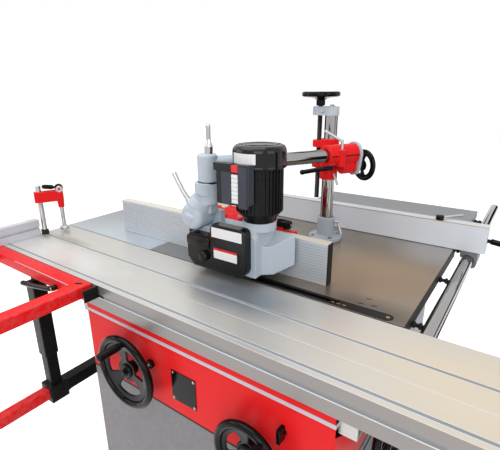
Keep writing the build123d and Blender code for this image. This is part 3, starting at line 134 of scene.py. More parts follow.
def brushed_group():
    """Lines left by rolling, grinding or brushing along one way of the stretched vector."""
    tree, given, result = new_group(
        "brushed lines", (("Vector", "Vector", None), ("Scale", "Float", 200.0)),
        (("Height", "Float"), ("Tone", "Float")))
    fine = noise(tree, given["Vector"], given["Scale"], 4.0, 0.7)
    broad_scale = maths(tree, "MULTIPLY", given["Scale"], 0.12)
    broad = noise(tree, given["Vector"], broad_scale, 2.0, 0.5)
    tree.links.new(fine, result["Height"])
    tree.links.new(remap(tree, maths(tree, "ADD", fine, broad), 0.7, 1.3), result["Tone"])
    return tree


def wear_group():
    """Paint or plating rubbed on the outer edges, broken up by a fine noise."""
    tree, given, result = new_group(
        "edge wear", (("Vector", "Vector", None), ("Amount", "Float", 0.5)), (("Mask", "Float"),))
    edge = remap(tree, add(tree, "ShaderNodeNewGeometry").outputs["Pointiness"], 0.52, 0.6)
    broken = remap(tree, noise(tree, given["Vector"], 60.0, 4.0, 0.6), 0.4, 0.62)
    mask = maths(tree, "MULTIPLY", maths(tree, "MULTIPLY", edge, broken), given["Amount"])
    tree.links.new(mask, result["Mask"])
    return tree


def patch_group():
    """A soft spot with a ragged edge: a stain, a rubbed place or a tinted sheen."""
    tree, given, result = new_group(
        "soft patch", (("Vector", "Vector", None), ("Centre", "Vector", (0, 0, 0)),
                       ("Size", "Vector", (1, 1, 1)), ("Ragged", "Float", 0.5)), (("Mask", "Float"),))
    away = add(tree, "ShaderNodeVectorMath", {0: given["Vector"], 1: given["Centre"]}, operation="SUBTRACT")
    spread = add(tree, "ShaderNodeVectorMath", {0: away.outputs[0], 1: given["Size"]}, operation="DIVIDE")
    reach = add(tree, "ShaderNodeVectorMath", {0: spread.outputs[0]}, operation="LENGTH").outputs["Value"]
    rough = remap(tree, noise(tree, given["Vector"], 7.0, 5.0, 0.6), 0.0, 1.0, -0.5, 0.5)
    uneven = maths(tree, "MULTIPLY", rough, given["Ragged"])
    tree.links.new(remap(tree, maths(tree, "ADD", reach, uneven), 1.0, 0.3), result["Mask"])
    return tree


smudges = smudge_group()
surface_grain = grain_group()
brushed_lines = brushed_group()
edge_wear = wear_group()
soft_patch = patch_group()


def placed(tree, shared, **inputs):
    """A shared group inside a material, with its own values."""
    return add(tree, "ShaderNodeGroup", inputs, node_tree=shared).outputs


def new_material(name):
    """A material with its node tree, its shader and its Object coordinates."""
    made = bpy.data.materials.new(name)
    made.use_nodes = True
    tree = made.node_tree
    shader = tree.nodes["Principled BSDF"]
    return made, tree, shader, add(tree, "ShaderNodeTexCoord").outputs["Object"]


def feed(tree, shader, colour, roughness, height, bump, depth):
    """Link colour, roughness and relief to the shader."""
    tree.links.new(colour, shader.inputs["Base Color"])
    tree.links.new(roughness, shader.inputs["Roughness"])
    relief = add(tree, "ShaderNodeBump", {"Height": height, "Strength": bump, "Distance": depth})
    tree.links.new(relief.outputs[0], shader.inputs["Normal"])


def coated(name, colour, shade, roughness, grain=500.0, bump=0.12, specular=0.5, wear=0.25):
    """Paint, powder coat, plastic or rubber: two tones, sprayed or moulded grain, rubbed edges."""
    made, tree, shader, place = new_material(name)
    bare = (0.32, 0.31, 0.30, 1)
    dirt = placed(tree, smudges, Vector=place, Scale=5.0, Contrast=0.4)["Mask"]
    skin = placed(tree, surface_grain, Vector=place, Scale=grain, Pits=0.2)
    rubbed = placed(tree, edge_wear, Vector=place, Amount=wear)["Mask"]
    tone = blend(tree, dirt, (*colour, 1), (*shade, 1))
    tone = blend(tree, rubbed, tone, bare)
    low, high = roughness
    feed(tree, shader, tone, remap(tree, dirt, 0.0, 1.0, low, high), skin["Height"], bump, 0.0006)
    shader.inputs["Specular IOR Level"].default_value = specular
    return made


def metal(name, colour, shade, roughness, lines=(1, 1, 1), scale=160.0, bump=0.05, metallic=1.0, patches=(),
          sides=None):
    """Bare metal: two tones, lines along one way, tinted patches, and faces that don't look up darkened as painted
    shade.
    """
    made, tree, shader, place = new_material(name)
    dirt = placed(tree, smudges, Vector=place, Scale=4.0, Contrast=0.3)["Mask"]
    drawn = placed(tree, brushed_lines, Vector=stretched(tree, place, lines), Scale=scale)
    tone = blend(tree, maths(tree, "MULTIPLY", dirt, drawn["Tone"]), (*colour, 1), (*shade, 1))
    for centre, size, ragged, tint in patches:
        mask = placed(tree, soft_patch, Vector=place, Centre=centre, Size=size, Ragged=ragged)["Mask"]
        tone = blend(tree, mask, tone, (*tint, 1))
    # Painted shade: faces that turn away from up blend toward the sides colour.
    if sides:
        normal = add(tree, "ShaderNodeNewGeometry").outputs["Normal"]
        upward = add(tree, "ShaderNodeSeparateXYZ", {0: normal}).outputs["Z"]
        tone = blend(tree, remap(tree, upward, 0.9, 0.5), tone, (*sides, 1))
    low, high = roughness
    feed(tree, shader, tone, remap(tree, dirt, 0.0, 1.0, low, high), drawn["Height"], bump, 0.0004)
    shader.inputs["Metallic"].default_value = metallic
    return made


# Painted and moulded finishes

red_enamel = coated("red_enamel", (0.83, 0.014, 0.016), (0.80, 0.012, 0.014), (0.34, 0.4), 520.0, 0.04, 0.12)
red_tube = coated("red_tube", (0.80, 0.011, 0.013), (0.76, 0.009, 0.011), (0.32, 0.38), 300.0, 0.08, 0.12)
hood_red = coated("hood_red", (0.74, 0.008, 0.010), (0.70, 0.007, 0.009), (0.5, 0.6), 520.0, 0.06, 0.02)
red_casting = coated(
    "red_casting", (0.80, 0.012, 0.014), (0.73, 0.009, 0.011), (0.3, 0.38), 260.0, 0.12, 0.14)
grey_enamel = coated("grey_enamel", (0.16, 0.155, 0.17), (0.145, 0.14, 0.155), (0.34, 0.4), 520.0, 0.08)
grey_door = coated("grey_door", (0.175, 0.17, 0.185), (0.155, 0.15, 0.165), (0.34, 0.4), 520.0, 0.08)
grey_panel = coated(
    "grey_panel", (0.50, 0.50, 0.54), (0.46, 0.46, 0.50), (0.36, 0.42), 520.0, 0.06, wear=0.05)
# The cabinet's lilac stripe; the same tone also serves as a painted highlight along an outrigger tube's edge.
lilac_stripe_and_highlight = coated(
    "lilac_stripe_and_highlight", (0.60, 0.57, 0.64), (0.54, 0.52, 0.58), (0.3, 0.36), 900.0, 0.03, wear=0.05)
pale_casting = coated(
    "pale_casting", (0.50, 0.565, 0.635), (0.45, 0.51, 0.575), (0.4, 0.48), 300.0, 0.14, 0.3, 0.03)
hammer_grey = coated(
    "hammer_grey", (0.40, 0.44, 0.50), (0.34, 0.375, 0.42), (0.4, 0.48), 190.0, 0.3, 0.3, 0.04)
dark_casting = coated(
    "dark_casting", (0.155, 0.165, 0.18), (0.12, 0.128, 0.14), (0.34, 0.42), 260.0, 0.2, wear=0.08)
gloss_black = coated(
    "gloss_black", (0.003, 0.003, 0.0035), (0.005, 0.005, 0.0055), (0.10, 0.15), 260.0, 0.03, 0.14, 0.01)
cowl_black = coated(
    "cowl_black", (0.003, 0.003, 0.0035), (0.005, 0.005, 0.0055), (0.10, 0.15), 300.0, 0.02, 0.32, 0.01)
cover_black = coated(
    "cover_black", (0.004, 0.004, 0.0045), (0.006, 0.006, 0.0065), (0.18, 0.24), 500.0, 0.05, 0.28, 0.01)
motor_black = coated(
    "motor_black", (0.005, 0.005, 0.0055), (0.008, 0.008, 0.0085), (0.24, 0.3), 400.0, 0.05, 0.16, 0.02)
satin_black = coated(
    "satin_black", (0.006, 0.006, 0.006), (0.010, 0.0095, 0.0095), (0.3, 0.38), 700.0, 0.1, 0.12, 0.02)
slot_dark = coated(
    "slot_dark", (0.006, 0.006, 0.006), (0.012, 0.011, 0.010), (0.6, 0.7), 700.0, 0.05, 0.1, 0.0)
iron_side = coated(
    "iron_side", (0.022, 0.018, 0.016), (0.035, 0.026, 0.021), (0.4, 0.5), 240.0, 0.2, 0.15, 0.1)
motor_iron = coated("motor_iron", (0.05, 0.055, 0.06), (0.035, 0.036, 0.04), (0.4, 0.5), 260.0, 0.3)
slate = coated("slate", (0.052, 0.060, 0.078), (0.044, 0.050, 0.064), (0.34, 0.42), 900.0, 0.1, 0.2, 0.03)
slate_dark = coated(
    "slate_dark", (0.022, 0.024, 0.028), (0.017, 0.018, 0.021), (0.34, 0.42), 900.0, 0.1, 0.18, 0.03)
rubber = coated("rubber", (0.016, 0.016, 0.017), (0.028, 0.027, 0.026), (0.62, 0.75), 500.0, 0.25, 0.2, 0.0)
# A darker tone painted into the gaps between the fence ribs as shade.
groove_painted_shade = coated(
    "groove_painted_shade", (0.44, 0.465, 0.50), (0.40, 0.42, 0.45), (0.5, 0.6), 700.0, 0.03, 0.2, 0.0)
# A darker tone painted into the floors of the slide's slots as shade.
slot_painted_shade = coated("slot_painted_shade", (0.30, 0.33, 0.36), (0.25, 0.275, 0.30), (0.5, 0.6), 700.0, 0.05, 0.2, 0.0)
white_plate = coated(
    "white_plate", (0.80, 0.81, 0.82), (0.75, 0.75, 0.75), (0.25, 0.32), 900.0, 0.02, wear=0.0)

# Bare metals; lines along the slide's length or across it show how each was drawn or ground

ALONG_SLIDE, ALONG_FENCE = (0.02, 6, 6), (0.03, 3, 6)
weld_bright = metal(
    "weld_bright", (0.72, 0.70, 0.68), (0.5, 0.45, 0.42), (0.3, 0.42), (1, 1, 1), 300.0, 0.1, 0.7)
sheet_grey = metal(
    "sheet_grey", (0.36, 0.37, 0.38), (0.29, 0.295, 0.30), (0.36, 0.46), (1, 8, 1), 40.0, 0.03, 0.6)
# Painted shade: the sides colour darkens the sheet's edges and any face that doesn't look up.
outfeed_sheet = metal(
    "outfeed_sheet", (0.54, 0.59, 0.64), (0.47, 0.51, 0.55), (0.3, 0.4), (8, 1, 1), 40.0, 0.02, 0.55,
    (((-1.02, 0.3, 0.85), (0.42, 0.5, 1), 0.6, (0.37, 0.38, 0.385)),), sides=(0.16, 0.165, 0.17))
ground_iron = metal(
    "ground_iron", (0.30, 0.27, 0.235), (0.20, 0.165, 0.13), (0.24, 0.38), (1, 9, 1), 60.0, 0.05, 0.9)
# The sides colour gives the dark cast rim, and with it painted shade on every face that doesn't look up.
table_top = metal(
    "table_top", (0.29, 0.26, 0.225), (0.24, 0.20, 0.16), (0.26, 0.34), (1, 9, 1), 22.0, 0.003, 0.7,
    (((0.34, 0.16, 0.85), (0.36, 0.34, 1), 0.35, (0.30, 0.205, 0.125)),
     ((0.42, -0.10, 0.85), (0.22, 0.10, 1), 0.3, (0.15, 0.117, 0.09)),
     ((-0.3, -0.07, 0.85), (0.35, 0.12, 1), 0.2, (0.25, 0.25, 0.245)),
     ((0.46, 0.50, 0.85), (0.18, 0.2, 1), 0.35, (0.38, 0.36, 0.34))), sides=(0.035, 0.027, 0.023))
anodised = metal("anodised", (0.50, 0.49, 0.47), (0.42, 0.41, 0.39), (0.3, 0.4), ALONG_SLIDE, 90.0, 0.03, 0.7)
# Painted shade and painted dark reflection: the sides colour darkens the front face and the other faces that don't
# look up.
slide_alloy = metal(
    "slide_alloy", (0.60, 0.585, 0.55), (0.55, 0.535, 0.505), (0.32, 0.42), ALONG_SLIDE, 90.0, 0.03, 0.55,
    (((0.05, -0.235, 0.85), (0.26, 0.12, 1), 0.4, (0.27, 0.30, 0.335)),
     ((-0.80, -0.36, 0.85), (0.5, 0.10, 1), 0.8, (0.72, 0.715, 0.70)),
     ((-0.83, -0.25, 0.85), (0.16, 0.035, 1), 0.9, (0.42, 0.40, 0.33)),
     ((0.78, -0.29, 0.85), (0.5, 0.25, 1), 0.4, (0.70, 0.615, 0.49))), sides=(0.27, 0.25, 0.24))
fence_alloy = metal(
    "fence_alloy", (0.56, 0.60, 0.65), (0.50, 0.535, 0.575), (0.36, 0.44), ALONG_FENCE, 90.0, 0.03, 0.45)
lilac_alloy = metal(
    "lilac_alloy", (0.61, 0.615, 0.665), (0.55, 0.555, 0.60), (0.36, 0.44), ALONG_FENCE, 90.0, 0.03, 0.45)
# A cream tone for the cable gland; the same tone also serves as a painted highlight on the fence plates' top
# edges.
cream_and_highlight = metal(
    "cream_and_highlight", (0.72, 0.68, 0.57), (0.66, 0.62, 0.52), (0.4, 0.48), ALONG_FENCE, 90.0, 0.02, 0.3)
# Bright alloy for the rip fence bar; the same tone also serves as painted highlights along the slide's edges.
bar_alloy_and_highlight = metal(
    "bar_alloy_and_highlight", (0.67, 0.705, 0.76), (0.63, 0.66, 0.71), (0.36, 0.44), ALONG_FENCE, 90.0, 0.02, 0.15)
gold_edge = metal(
    "gold_edge", (0.62, 0.50, 0.26), (0.5, 0.4, 0.2), (0.26, 0.36), ALONG_FENCE, 90.0, 0.02, 0.8)
chrome = metal("chrome", (0.52, 0.52, 0.53), (0.47, 0.465, 0.46), (0.07, 0.12), (1, 1, 0.1), 60.0, 0.004)
chrome_lines = metal(
    "chrome_lines", (0.38, 0.365, 0.36), (0.33, 0.32, 0.315), (0.05, 0.09), (1, 1, 0.1), 60.0, 0.003)
steel = metal("steel", (0.48, 0.48, 0.49), (0.38, 0.37, 0.36), (0.2, 0.3), (1, 1, 0.2), 160.0, 0.05)
blade_steel = metal("blade_steel", (0.42, 0.42, 0.43), (0.3, 0.29, 0.28), (0.2, 0.32), (6, 1, 6), 60.0, 0.04)
cast_alloy = metal(
    "cast_alloy", (0.55, 0.56, 0.575), (0.48, 0.485, 0.495), (0.3, 0.4), (1, 1, 1), 120.0, 0.04, 0.7)
dark_steel = metal(
    "dark_steel", (0.035, 0.036, 0.038), (0.055, 0.054, 0.053), (0.3, 0.42), (1, 1, 1), 160.0, 0.04, 0.6)
brass = metal("brass", (0.62, 0.44, 0.16), (0.45, 0.31, 0.11), (0.24, 0.36), (1, 1, 1), 160.0, 0.05)

SLOT_FINISH = {
    "cabinet_grey": grey_enamel, "cabinet_red": red_enamel, "ground_iron": ground_iron,
    "sheet_grey": sheet_grey, "anodised": fence_alloy, "steel": steel, "chrome": chrome_lines,
    "cast_grey": pale_casting, "cast_red": red_casting, "tube_red": red_enamel,
    "black_plastic": gloss_black, "black_satin": satin_black, "black_metal": gloss_black,
    "motor_black": motor_black, "slate": slate, "roller": rubber, "cast_alloy": pale_casting,
    "motor_iron": motor_iron,
}
node_slot = {part["node"]: part["material_slot"] for part in frame["record"]["subparts"]}
for name, cad in nodes.items():
    cad.data.materials.clear()
    cad.data.materials.append(SLOT_FINISH[node_slot[name]])


# Places in the frame, in millimetres as every shape is

def box_of(node):
    """A node's lowest and highest corners at rest."""
    low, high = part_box(node)
    return Vector(low) / MM, Vector(high) / MM


def joint_at(name):
    """The place that a joint turns about."""
    return next(Vector(joint["pos_m"]) / MM for joint in frame["joints"] if joint["name"] == name)


def body_of(node):
    return next(body for body, parts in frame["record"]["behaviour"]["bodies"].items() if node in parts)


# The elbow's upright axis at the height of the feeder's arm
ELBOW = Vector((-141.2, -134, 1211))


# Mesh helpers

def turned_to(origin, axis):
    """A matrix whose Z runs from an origin along an axis."""
    return Matrix.Translation(origin) @ Vector(axis).to_track_quat("Z", "Y").to_matrix().to_4x4()


def mesh_of(bm, name):
    mesh = bpy.data.meshes.new(name)
    bm.to_mesh(mesh)
    bm.free()
    return mesh


def shown(name, mesh):
    made = bpy.data.objects.new(name, mesh)
    bpy.context.scene.collection.objects.link(made)
    return made


def settled(made):
    """The mesh that an object's modifiers give; the object itself goes."""
    result = bpy.data.meshes.new_from_object(made.evaluated_get(bpy.context.evaluated_depsgraph_get()))
    bpy.data.objects.remove(made)
    return result


def make_piece(name, bm, finish, body, node=None, sharp=38.0, weighted=True):
    """Finish a shape as a piece that moves with a body, and stands for a node if one is named."""
    bmesh.ops.remove_doubles(bm, verts=bm.verts, dist=0.001)
    bmesh.ops.recalc_face_normals(bm, faces=bm.faces)
    bm.transform(Matrix.Scale(MM, 4))
    mesh = mesh_of(bm, name)
    mesh.materials.clear()
    mesh.materials.append(finish)
    mesh.shade_smooth()
    mesh.set_sharp_from_angle(angle=math.radians(sharp))
    made = shown(name, mesh)
    if weighted:
        made.modifiers.new("flat faces", "WEIGHTED_NORMAL").keep_sharp = True
        made = shown(name, settled(made))
    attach(made, body)
    if node:
        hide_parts(node)


def skin(bm, rings, closed=False):
    """Faces between rings of corners; a ring of one corner makes a point."""
    pairs = list(zip(rings, rings[1:])) + ([(rings[-1], rings[0])] if closed else [])
    for first, second in pairs:
        steps = max(len(first), len(second))
        for k in range(steps):
            n = (k + 1) % steps
            corners = [first[k % len(first)], first[n % len(first)], second[n % len(second)],
                       second[k % len(second)]]
            corners = list(dict.fromkeys(corners))
            if len(corners) > 2:
                bm.faces.new(corners)


def lathe(bm, profile, origin, axis=UP, steps=40, closed=False):
    """Spin a profile of (radius, height) points about an axis."""
    place = turned_to(origin, axis)
    rings = []
    for radius, height in profile:
        count = steps if radius > 0 else 1
        turns = [2 * math.pi * k / count for k in range(count)]
        rings.append([bm.verts.new(place @ Vector((radius * math.cos(t), radius * math.sin(t), height)))
                      for t in turns])
    skin(bm, rings, closed)


def brick(bm, low, high, soft=0.0, place=Matrix()):
    """A box between two corners with softened edges."""
    low, high = Vector(low), Vector(high)
    corners = bmesh.ops.create_cube(bm, size=1.0)["verts"]
    bmesh.ops.scale(bm, vec=high - low, verts=corners)
    bmesh.ops.translate(bm, vec=(low + high) / 2, verts=corners)
    bmesh.ops.transform(bm, matrix=place, verts=corners)
    if soft:
        edges = list(dict.fromkeys(edge for corner in corners for edge in corner.link_edges))
        bmesh.ops.bevel(bm, geom=edges, offset=soft, segments=2, profile=0.5, affect="EDGES")


def arc(x, y, radius, start):
    """Points along half a circle, from a starting angle."""
    steps = 14
    turns = [start + math.pi * k / steps for k in range(steps + 1)]
    return [(x + radius * math.cos(t), y + radius * math.sin(t)) for t in turns]


def rounded(corners, radius, steps=6):
    """A closed outline whose corners are turned to curves, of one radius or of one each."""
    points = []
    for k, corner in enumerate(corners):
        here = Vector(corner)
        before = Vector(corners[k - 1]) - here
        after = Vector(corners[(k + 1) % len(corners)]) - here
        wanted = radius[k] if isinstance(radius, tuple) else radius
        reach = min(wanted, before.length / 2, after.length / 2)
        start, end = here + before.normalized() * reach, here + after.normalized() * reach
        for step in range(steps + 1):
            t = step / steps
            points.append(start * (1 - t) ** 2 + here * 2 * t * (1 - t) + end * t ** 2)
    return points


def prism(bm, outline, place, depth, soft=0.0, segments=2):
    """An outline on a plane, pulled out along the plane's Z, with a softened front rim."""
    near = [bm.verts.new(place @ Vector((*point, 0))) for point in outline]
    far = [bm.verts.new(place @ Vector((*point, depth))) for point in outline]
    skin(bm, [near, far])
    bm.faces.new(near[::-1])
    front = bm.faces.new(far)
    if soft:
        bmesh.ops.bevel(bm, geom=list(front.edges), offset=soft, segments=segments, profile=0.5,
                        affect="EDGES")


def bar(bm, stations, steps=18):
    """A round bar through (place, radius) stations, closed at both ends."""
    aside = Vector((0.31, 0.27, 0.91))
    places = [Vector(place) for place, radius in stations]
    rings = []
    for k, (place, radius) in enumerate(stations):
        ahead = places[min(k + 1, len(places) - 1)] - places[max(k - 1, 0)]
        side = ahead.cross(aside).normalized() * radius
        top = side.cross(ahead).normalized() * radius
        turns = [2 * math.pi * n / steps for n in range(steps)]
        rings.append([bm.verts.new(places[k] + side * math.cos(t) + top * math.sin(t)) for t in turns])
    skin(bm, rings)
    bm.faces.new(rings[0][::-1])
    bm.faces.new(rings[-1])


def domed(place, radius, ahead):
    """Stations that close a bar with a round end."""
    ahead = Vector(ahead).normalized()
    return [(Vector(place) + ahead * radius * math.sin(t), max(radius * math.cos(t), 0.2))
            for t in (0.0, 0.5, 0.95, 1.3, 1.52)]


def bricks(name, finish, body, *boxes):
    """A piece made of boxes, each given as two corners and, where it has one, its edge."""
    bm = bmesh.new()
    for box in boxes:
        brick(bm, *box)
    make_piece(name, bm, finish, body)


def turned(name, finish, body, profile, origin, axis=UP, steps=40, closed=False, node=None):
    """A piece made on the lathe."""
    bm = bmesh.new()
    lathe(bm, profile, origin, axis, steps, closed)
    make_piece(name, bm, finish, body, node)


def rod(name, finish, body, stations, steps=18, node=None):
    """A piece made of one round bar."""
    bm = bmesh.new()
    bar(bm, stations, steps)
    make_piece(name, bm, finish, body, node)


def merged_copy(node):
    """A node's mesh with its loose triangles joined."""
    bm = bmesh.new()
    bm.from_mesh(nodes[node].data)
    bm.transform(Matrix.Scale(1 / MM, 4))
    bmesh.ops.remove_doubles(bm, verts=bm.verts, dist=0.01)
    bmesh.ops.dissolve_limit(bm, angle_limit=math.radians(0.5), verts=bm.verts, edges=bm.edges)
    bmesh.ops.recalc_face_normals(bm, faces=bm.faces)
    return bm


def softened(node, finish, width):
    """A node with its outer edges rounded over."""
    bm = merged_copy(node)
    corner = math.radians(35)
    edges = [e for e in bm.edges if len(e.link_faces) == 2 and e.is_convex and e.calc_face_angle() > corner]
    bmesh.ops.bevel(bm, geom=edges, offset=width, segments=2, profile=0.5, affect="EDGES",
                    clamp_overlap=False)
    make_piece(node + "_skin", bm, finish, body_of(node), node)


def cast(node, finish, grain, rounds, cut=None, extra=None):
    """A casting's skin: a node cut at a plane, with a bulge added, filled out on a fine grid and smoothed."""
    bm = merged_copy(node)
    if cut:
        whole = bm.verts[:] + bm.edges[:] + bm.faces[:]
        edge = bmesh.ops.bisect_plane(bm, geom=whole, plane_co=cut[0], plane_no=cut[1], clear_outer=True)
        bmesh.ops.holes_fill(bm, edges=[e for e in edge["geom_cut"] if isinstance(e, bmesh.types.BMEdge)])
    if extra:
        bulge = mesh_of(extra, "bulge")
        bm.from_mesh(bulge)
        bpy.data.meshes.remove(bulge)
        bmesh.ops.recalc_face_normals(bm, faces=bm.faces)
    made = shown(node, mesh_of(bm, node))
    fill = made.modifiers.new("fill", "REMESH")
    fill.mode = "VOXEL"
    fill.voxel_size = grain
    made.modifiers.new("ease", "SMOOTH").iterations = rounds
    bm = bmesh.new()
    bm.from_mesh(settled(made))
    make_piece(node + "_skin", bm, finish, body_of(node), node, sharp=70.0, weighted=False)


# Growing trees: copies of one shape round a ring, along a row, or on loose points

def growth(name, sizes):
    """An empty growing tree with named inputs, and the shape that it copies."""
    tree = bpy.data.node_groups.new(name, "GeometryNodeTree")
    for label, kind in (("Points", "Geometry"), *sizes, ("Shape", "Object"), ("Finish", "Material")):
        tree.interface.new_socket(label, in_out="INPUT", socket_type="NodeSocket" + kind)
    tree.interface.new_socket("Copies", in_out="OUTPUT", socket_type="NodeSocketGeometry")
    given = add(tree, "NodeGroupInput").outputs
    shape = add(tree, "GeometryNodeObjectInfo", {"Object": given["Shape"]}).outputs["Geometry"]
    return tree, given, shape


def plant(tree, given, shape, points, turn=None):
    """Set the copies on points, make them real and dress them."""
    inputs = {"Points": points, "Instance": shape}
    if turn:
        inputs["Rotation"] = turn
    copies = add(tree, "GeometryNodeInstanceOnPoints", inputs).outputs[0]
    real = add(tree, "GeometryNodeRealizeInstances", {"Geometry": copies}).outputs[0]
    dressed = add(tree, "GeometryNodeSetMaterial", {"Geometry": real, "Material": given["Finish"]}).outputs[0]
    tree.links.new(dressed, add(tree, "NodeGroupOutput").inputs["Copies"])
    return tree


def ring_tree():
    tree, given, shape = growth("ring of copies", (("Count", "Int"), ("Radius", "Float")))
    circle = add(tree, "GeometryNodeMeshCircle", {"Vertices": given["Count"], "Radius": given["Radius"]})
    outward = add(tree, "FunctionNodeAlignRotationToVector",
                  {"Vector": add(tree, "GeometryNodeInputPosition").outputs[0]}, axis="X", pivot_axis="Z")
    return plant(tree, given, shape, circle.outputs[0], outward.outputs[0])


def row_tree():
    tree, given, shape = growth("row of copies", (("Count", "Int"), ("Step", "Vector")))
    line = add(tree, "GeometryNodeMeshLine", {"Count": given["Count"], "Offset": given["Step"]})
    return plant(tree, given, shape, line.outputs[0])


def spot_tree():
    tree, given, shape = growth("copies on spots", ())
    aim = add(tree, "GeometryNodeInputNamedAttribute", {"Name": "aim"}, data_type="FLOAT_VECTOR")
    outward = add(tree, "FunctionNodeAlignRotationToVector", {"Vector": aim.outputs["Attribute"]}, axis="Z")
    return plant(tree, given, shape, given["Points"], outward.outputs[0])


ring_of_copies = ring_tree()
row_of_copies = row_tree()
copies_on_spots = spot_tree()


def grown(bm, tree, shape, finish, place=Matrix(), points=None, **sizes):
    """Run a growing tree once and add its copies, moved into place, to a shape."""
    pattern = shown("pattern", mesh_of(shape, "pattern"))
    holder = shown("holder", points or bpy.data.meshes.new("holder"))
    run = holder.modifiers.new("growth", "NODES")
    run.node_group = tree
    keys = {item.name: item.identifier for item in tree.interface.items_tree if item.in_out == "INPUT"}
    for label, value in {"Shape": pattern, "Finish": finish, **sizes}.items():
        run[keys[label]] = value
    mesh = settled(holder)
    bpy.data.objects.remove(pattern)
    mesh.transform(place)
    bm.from_mesh(mesh)


def ring(bm, shape, finish, count, radius, origin, axis=UP):
    grown(bm, ring_of_copies, shape, finish, turned_to(origin, axis), Count=count, Radius=radius)


def row(bm, shape, finish, count, start, step):
    grown(bm, row_of_copies, shape, finish, Matrix.Translation(start), Count=count, Step=step)


def bolt_head(radius, height, sides=6):
    """A hexagon head on a washer, or a round socket head with many sides."""
    bm = bmesh.new()
    lathe(bm, [(0, 0), (radius * 1.35, 0), (radius * 1.35, height * 0.2), (radius, height * 0.2)],
          (0, 0, 0), steps=20)
    lathe(bm, [(radius, height * 0.2), (radius, height * 0.88), (radius * 0.85, height),
               (radius * 0.45, height), (radius * 0.4, height * 0.6), (0, height * 0.55)],
          (0, 0, 0), steps=sides)
    return bm


def bolts(name, places, aim, radius, finish, body, height=None, sides=6):
    """Bolt heads on a list of places, all facing one way."""
    spots = bpy.data.meshes.new("spots")
    spots.from_pydata([Vector(place) for place in places], [], [])
    aims = spots.attributes.new("aim", "FLOAT_VECTOR", "POINT")
    for value in aims.data:
        value.vector = aim
    bm = bmesh.new()
    grown(bm, copies_on_spots, bolt_head(radius, height or radius * 0.8, sides), finish, points=spots)
    make_piece(name, bm, finish, body)


def strip(size):
    """A softened bar about the origin, for ribs, fins and slats."""
    bm = bmesh.new()
    brick(bm, -Vector(size) / 2, Vector(size) / 2, min(size) * 0.3)
    return bm


# Wheels, handles and knobs

def kidney_web(radii, dish, openings, spread, thickness):
    """A handwheel's dished web with wide kidney openings, drawn about Z."""
    steps = 36
    bm = bmesh.new()
    turns = [2 * math.pi * k / steps for k in range(steps)]
    rings = [[bm.verts.new((radius * math.cos(t), radius * math.sin(t), height)) for t in turns]
             for radius, height in zip(radii, dish)]
    period = steps // openings
    for level, (first, second) in enumerate(zip(rings, rings[1:])):
        for k in range(steps):
            if 2 <= level <= len(radii) - 4 and k % period < spread:
                continue
            n = (k + 1) % steps
            bm.faces.new((first[k], first[n], second[n], second[k]))
    web = shown("web", mesh_of(bm, "web"))
    wall = web.modifiers.new("wall", "SOLIDIFY")
    wall.thickness = thickness
    wall.offset = 0.0
    ease = web.modifiers.new("ease", "SUBSURF")
    ease.levels = ease.render_levels = 2
    return settled(web)


def rim_profile(radius, section, steps=14):
    """The closed round section of a wheel rim."""
    turns = [2 * math.pi * k / steps for k in range(steps)]
    return [(radius + section * math.cos(t), section * math.sin(t)) for t in turns]


def handwheel(name, node, centre, axis, radius, section, hub, dish, finish, spread=8, openings=3, lean=0.0):
    """A dished cast wheel: round rim, web with wide openings, hub and a nut."""
    bm = bmesh.new()
    inner, outer = hub * 0.8, radius - 2 * section + 2
    radii = [inner + (outer - inner) * k / 8 for k in range(9)]
    drop = [-dish * (1 - k / 8) ** 0.7 for k in range(9)]
    web = kidney_web(radii, drop, openings, spread, section * 0.62)
    web.transform(turned_to(centre, axis) @ Matrix.Rotation(lean, 4, "Z"))
    bm.from_mesh(web)
    lathe(bm, rim_profile(radius - section, section), centre, axis, 64, closed=True)
    boss = [(0, -dish - 2 * section), (hub * 0.86, -dish - 2 * section), (hub, -dish - section),
            (hub, -dish + section * 0.6), (hub * 0.8, -dish + section), (0, -dish + section)]
    lathe(bm, boss, centre, axis)
    make_piece(name, bm, finish, body_of(node), node)
    nut = [(0, 0), (hub * 0.6, 0), (hub * 0.6, 2), (hub * 0.42, 2), (hub * 0.42, 8), (hub * 0.3, 10), (0, 10)]
    seat = Vector(centre) + Vector(axis) * (section - dish)
    turned(name + "_nut", satin_black, body_of(node), nut, seat, axis, 6)


def handle_profile(radius, length):
    """A turned handle: collar, waist and a rounded end."""
    return [(0, 0), (radius * 0.8, 0), (radius * 0.8, 3), (radius * 0.62, 4), (radius * 0.62, 7),
            (radius * 0.92, 9), (radius, length * 0.3), (radius * 0.97, length * 0.6), (radius, length - 8),
            (radius * 0.9, length - 3), (radius * 0.6, length - 0.6), (radius * 0.3, length), (0, length)]


def grip_knob(name, node, place, axis, radius, depth, lobes, finish):
    """A moulded knob: a dished cap with lobes round it and a metal centre."""
    bm = bmesh.new()
    lathe(bm, [(0, 0), (radius * 0.55, 0), (radius * 0.6, depth * 0.25), (radius * 0.86, depth * 0.3),
               (radius * 0.9, depth * 0.45), (radius * 0.9, depth * 0.85), (radius * 0.8, depth * 0.97),
               (radius * 0.5, depth), (radius * 0.42, depth * 0.93), (0, depth * 0.93)], place, axis, 36)
    lobe = bmesh.new()
    width = radius * 2.2 / lobes
    lathe(lobe, [(0, -depth * 0.34), (width * 0.8, -depth * 0.34), (width, -depth * 0.24),
                 (width, depth * 0.2), (width * 0.8, depth * 0.32), (0, depth * 0.34)], (0, 0, 0), steps=12)
    ring(bm, lobe, finish, lobes, radius - width, Vector(place) + Vector(axis) * depth * 0.6, axis)
    make_piece(name, bm, finish, body_of(node), node)
    centre = [(0, 0), (radius * 0.3, 0), (radius * 0.3, depth * 0.06), (radius * 0.24, depth * 0.12),
              (0, depth * 0.12)]
    seat = Vector(place) + Vector(axis) * depth * 0.9
    turned(name + "_centre", steel, body_of(node), centre, seat, axis, 20)


# Cabinet and its controls

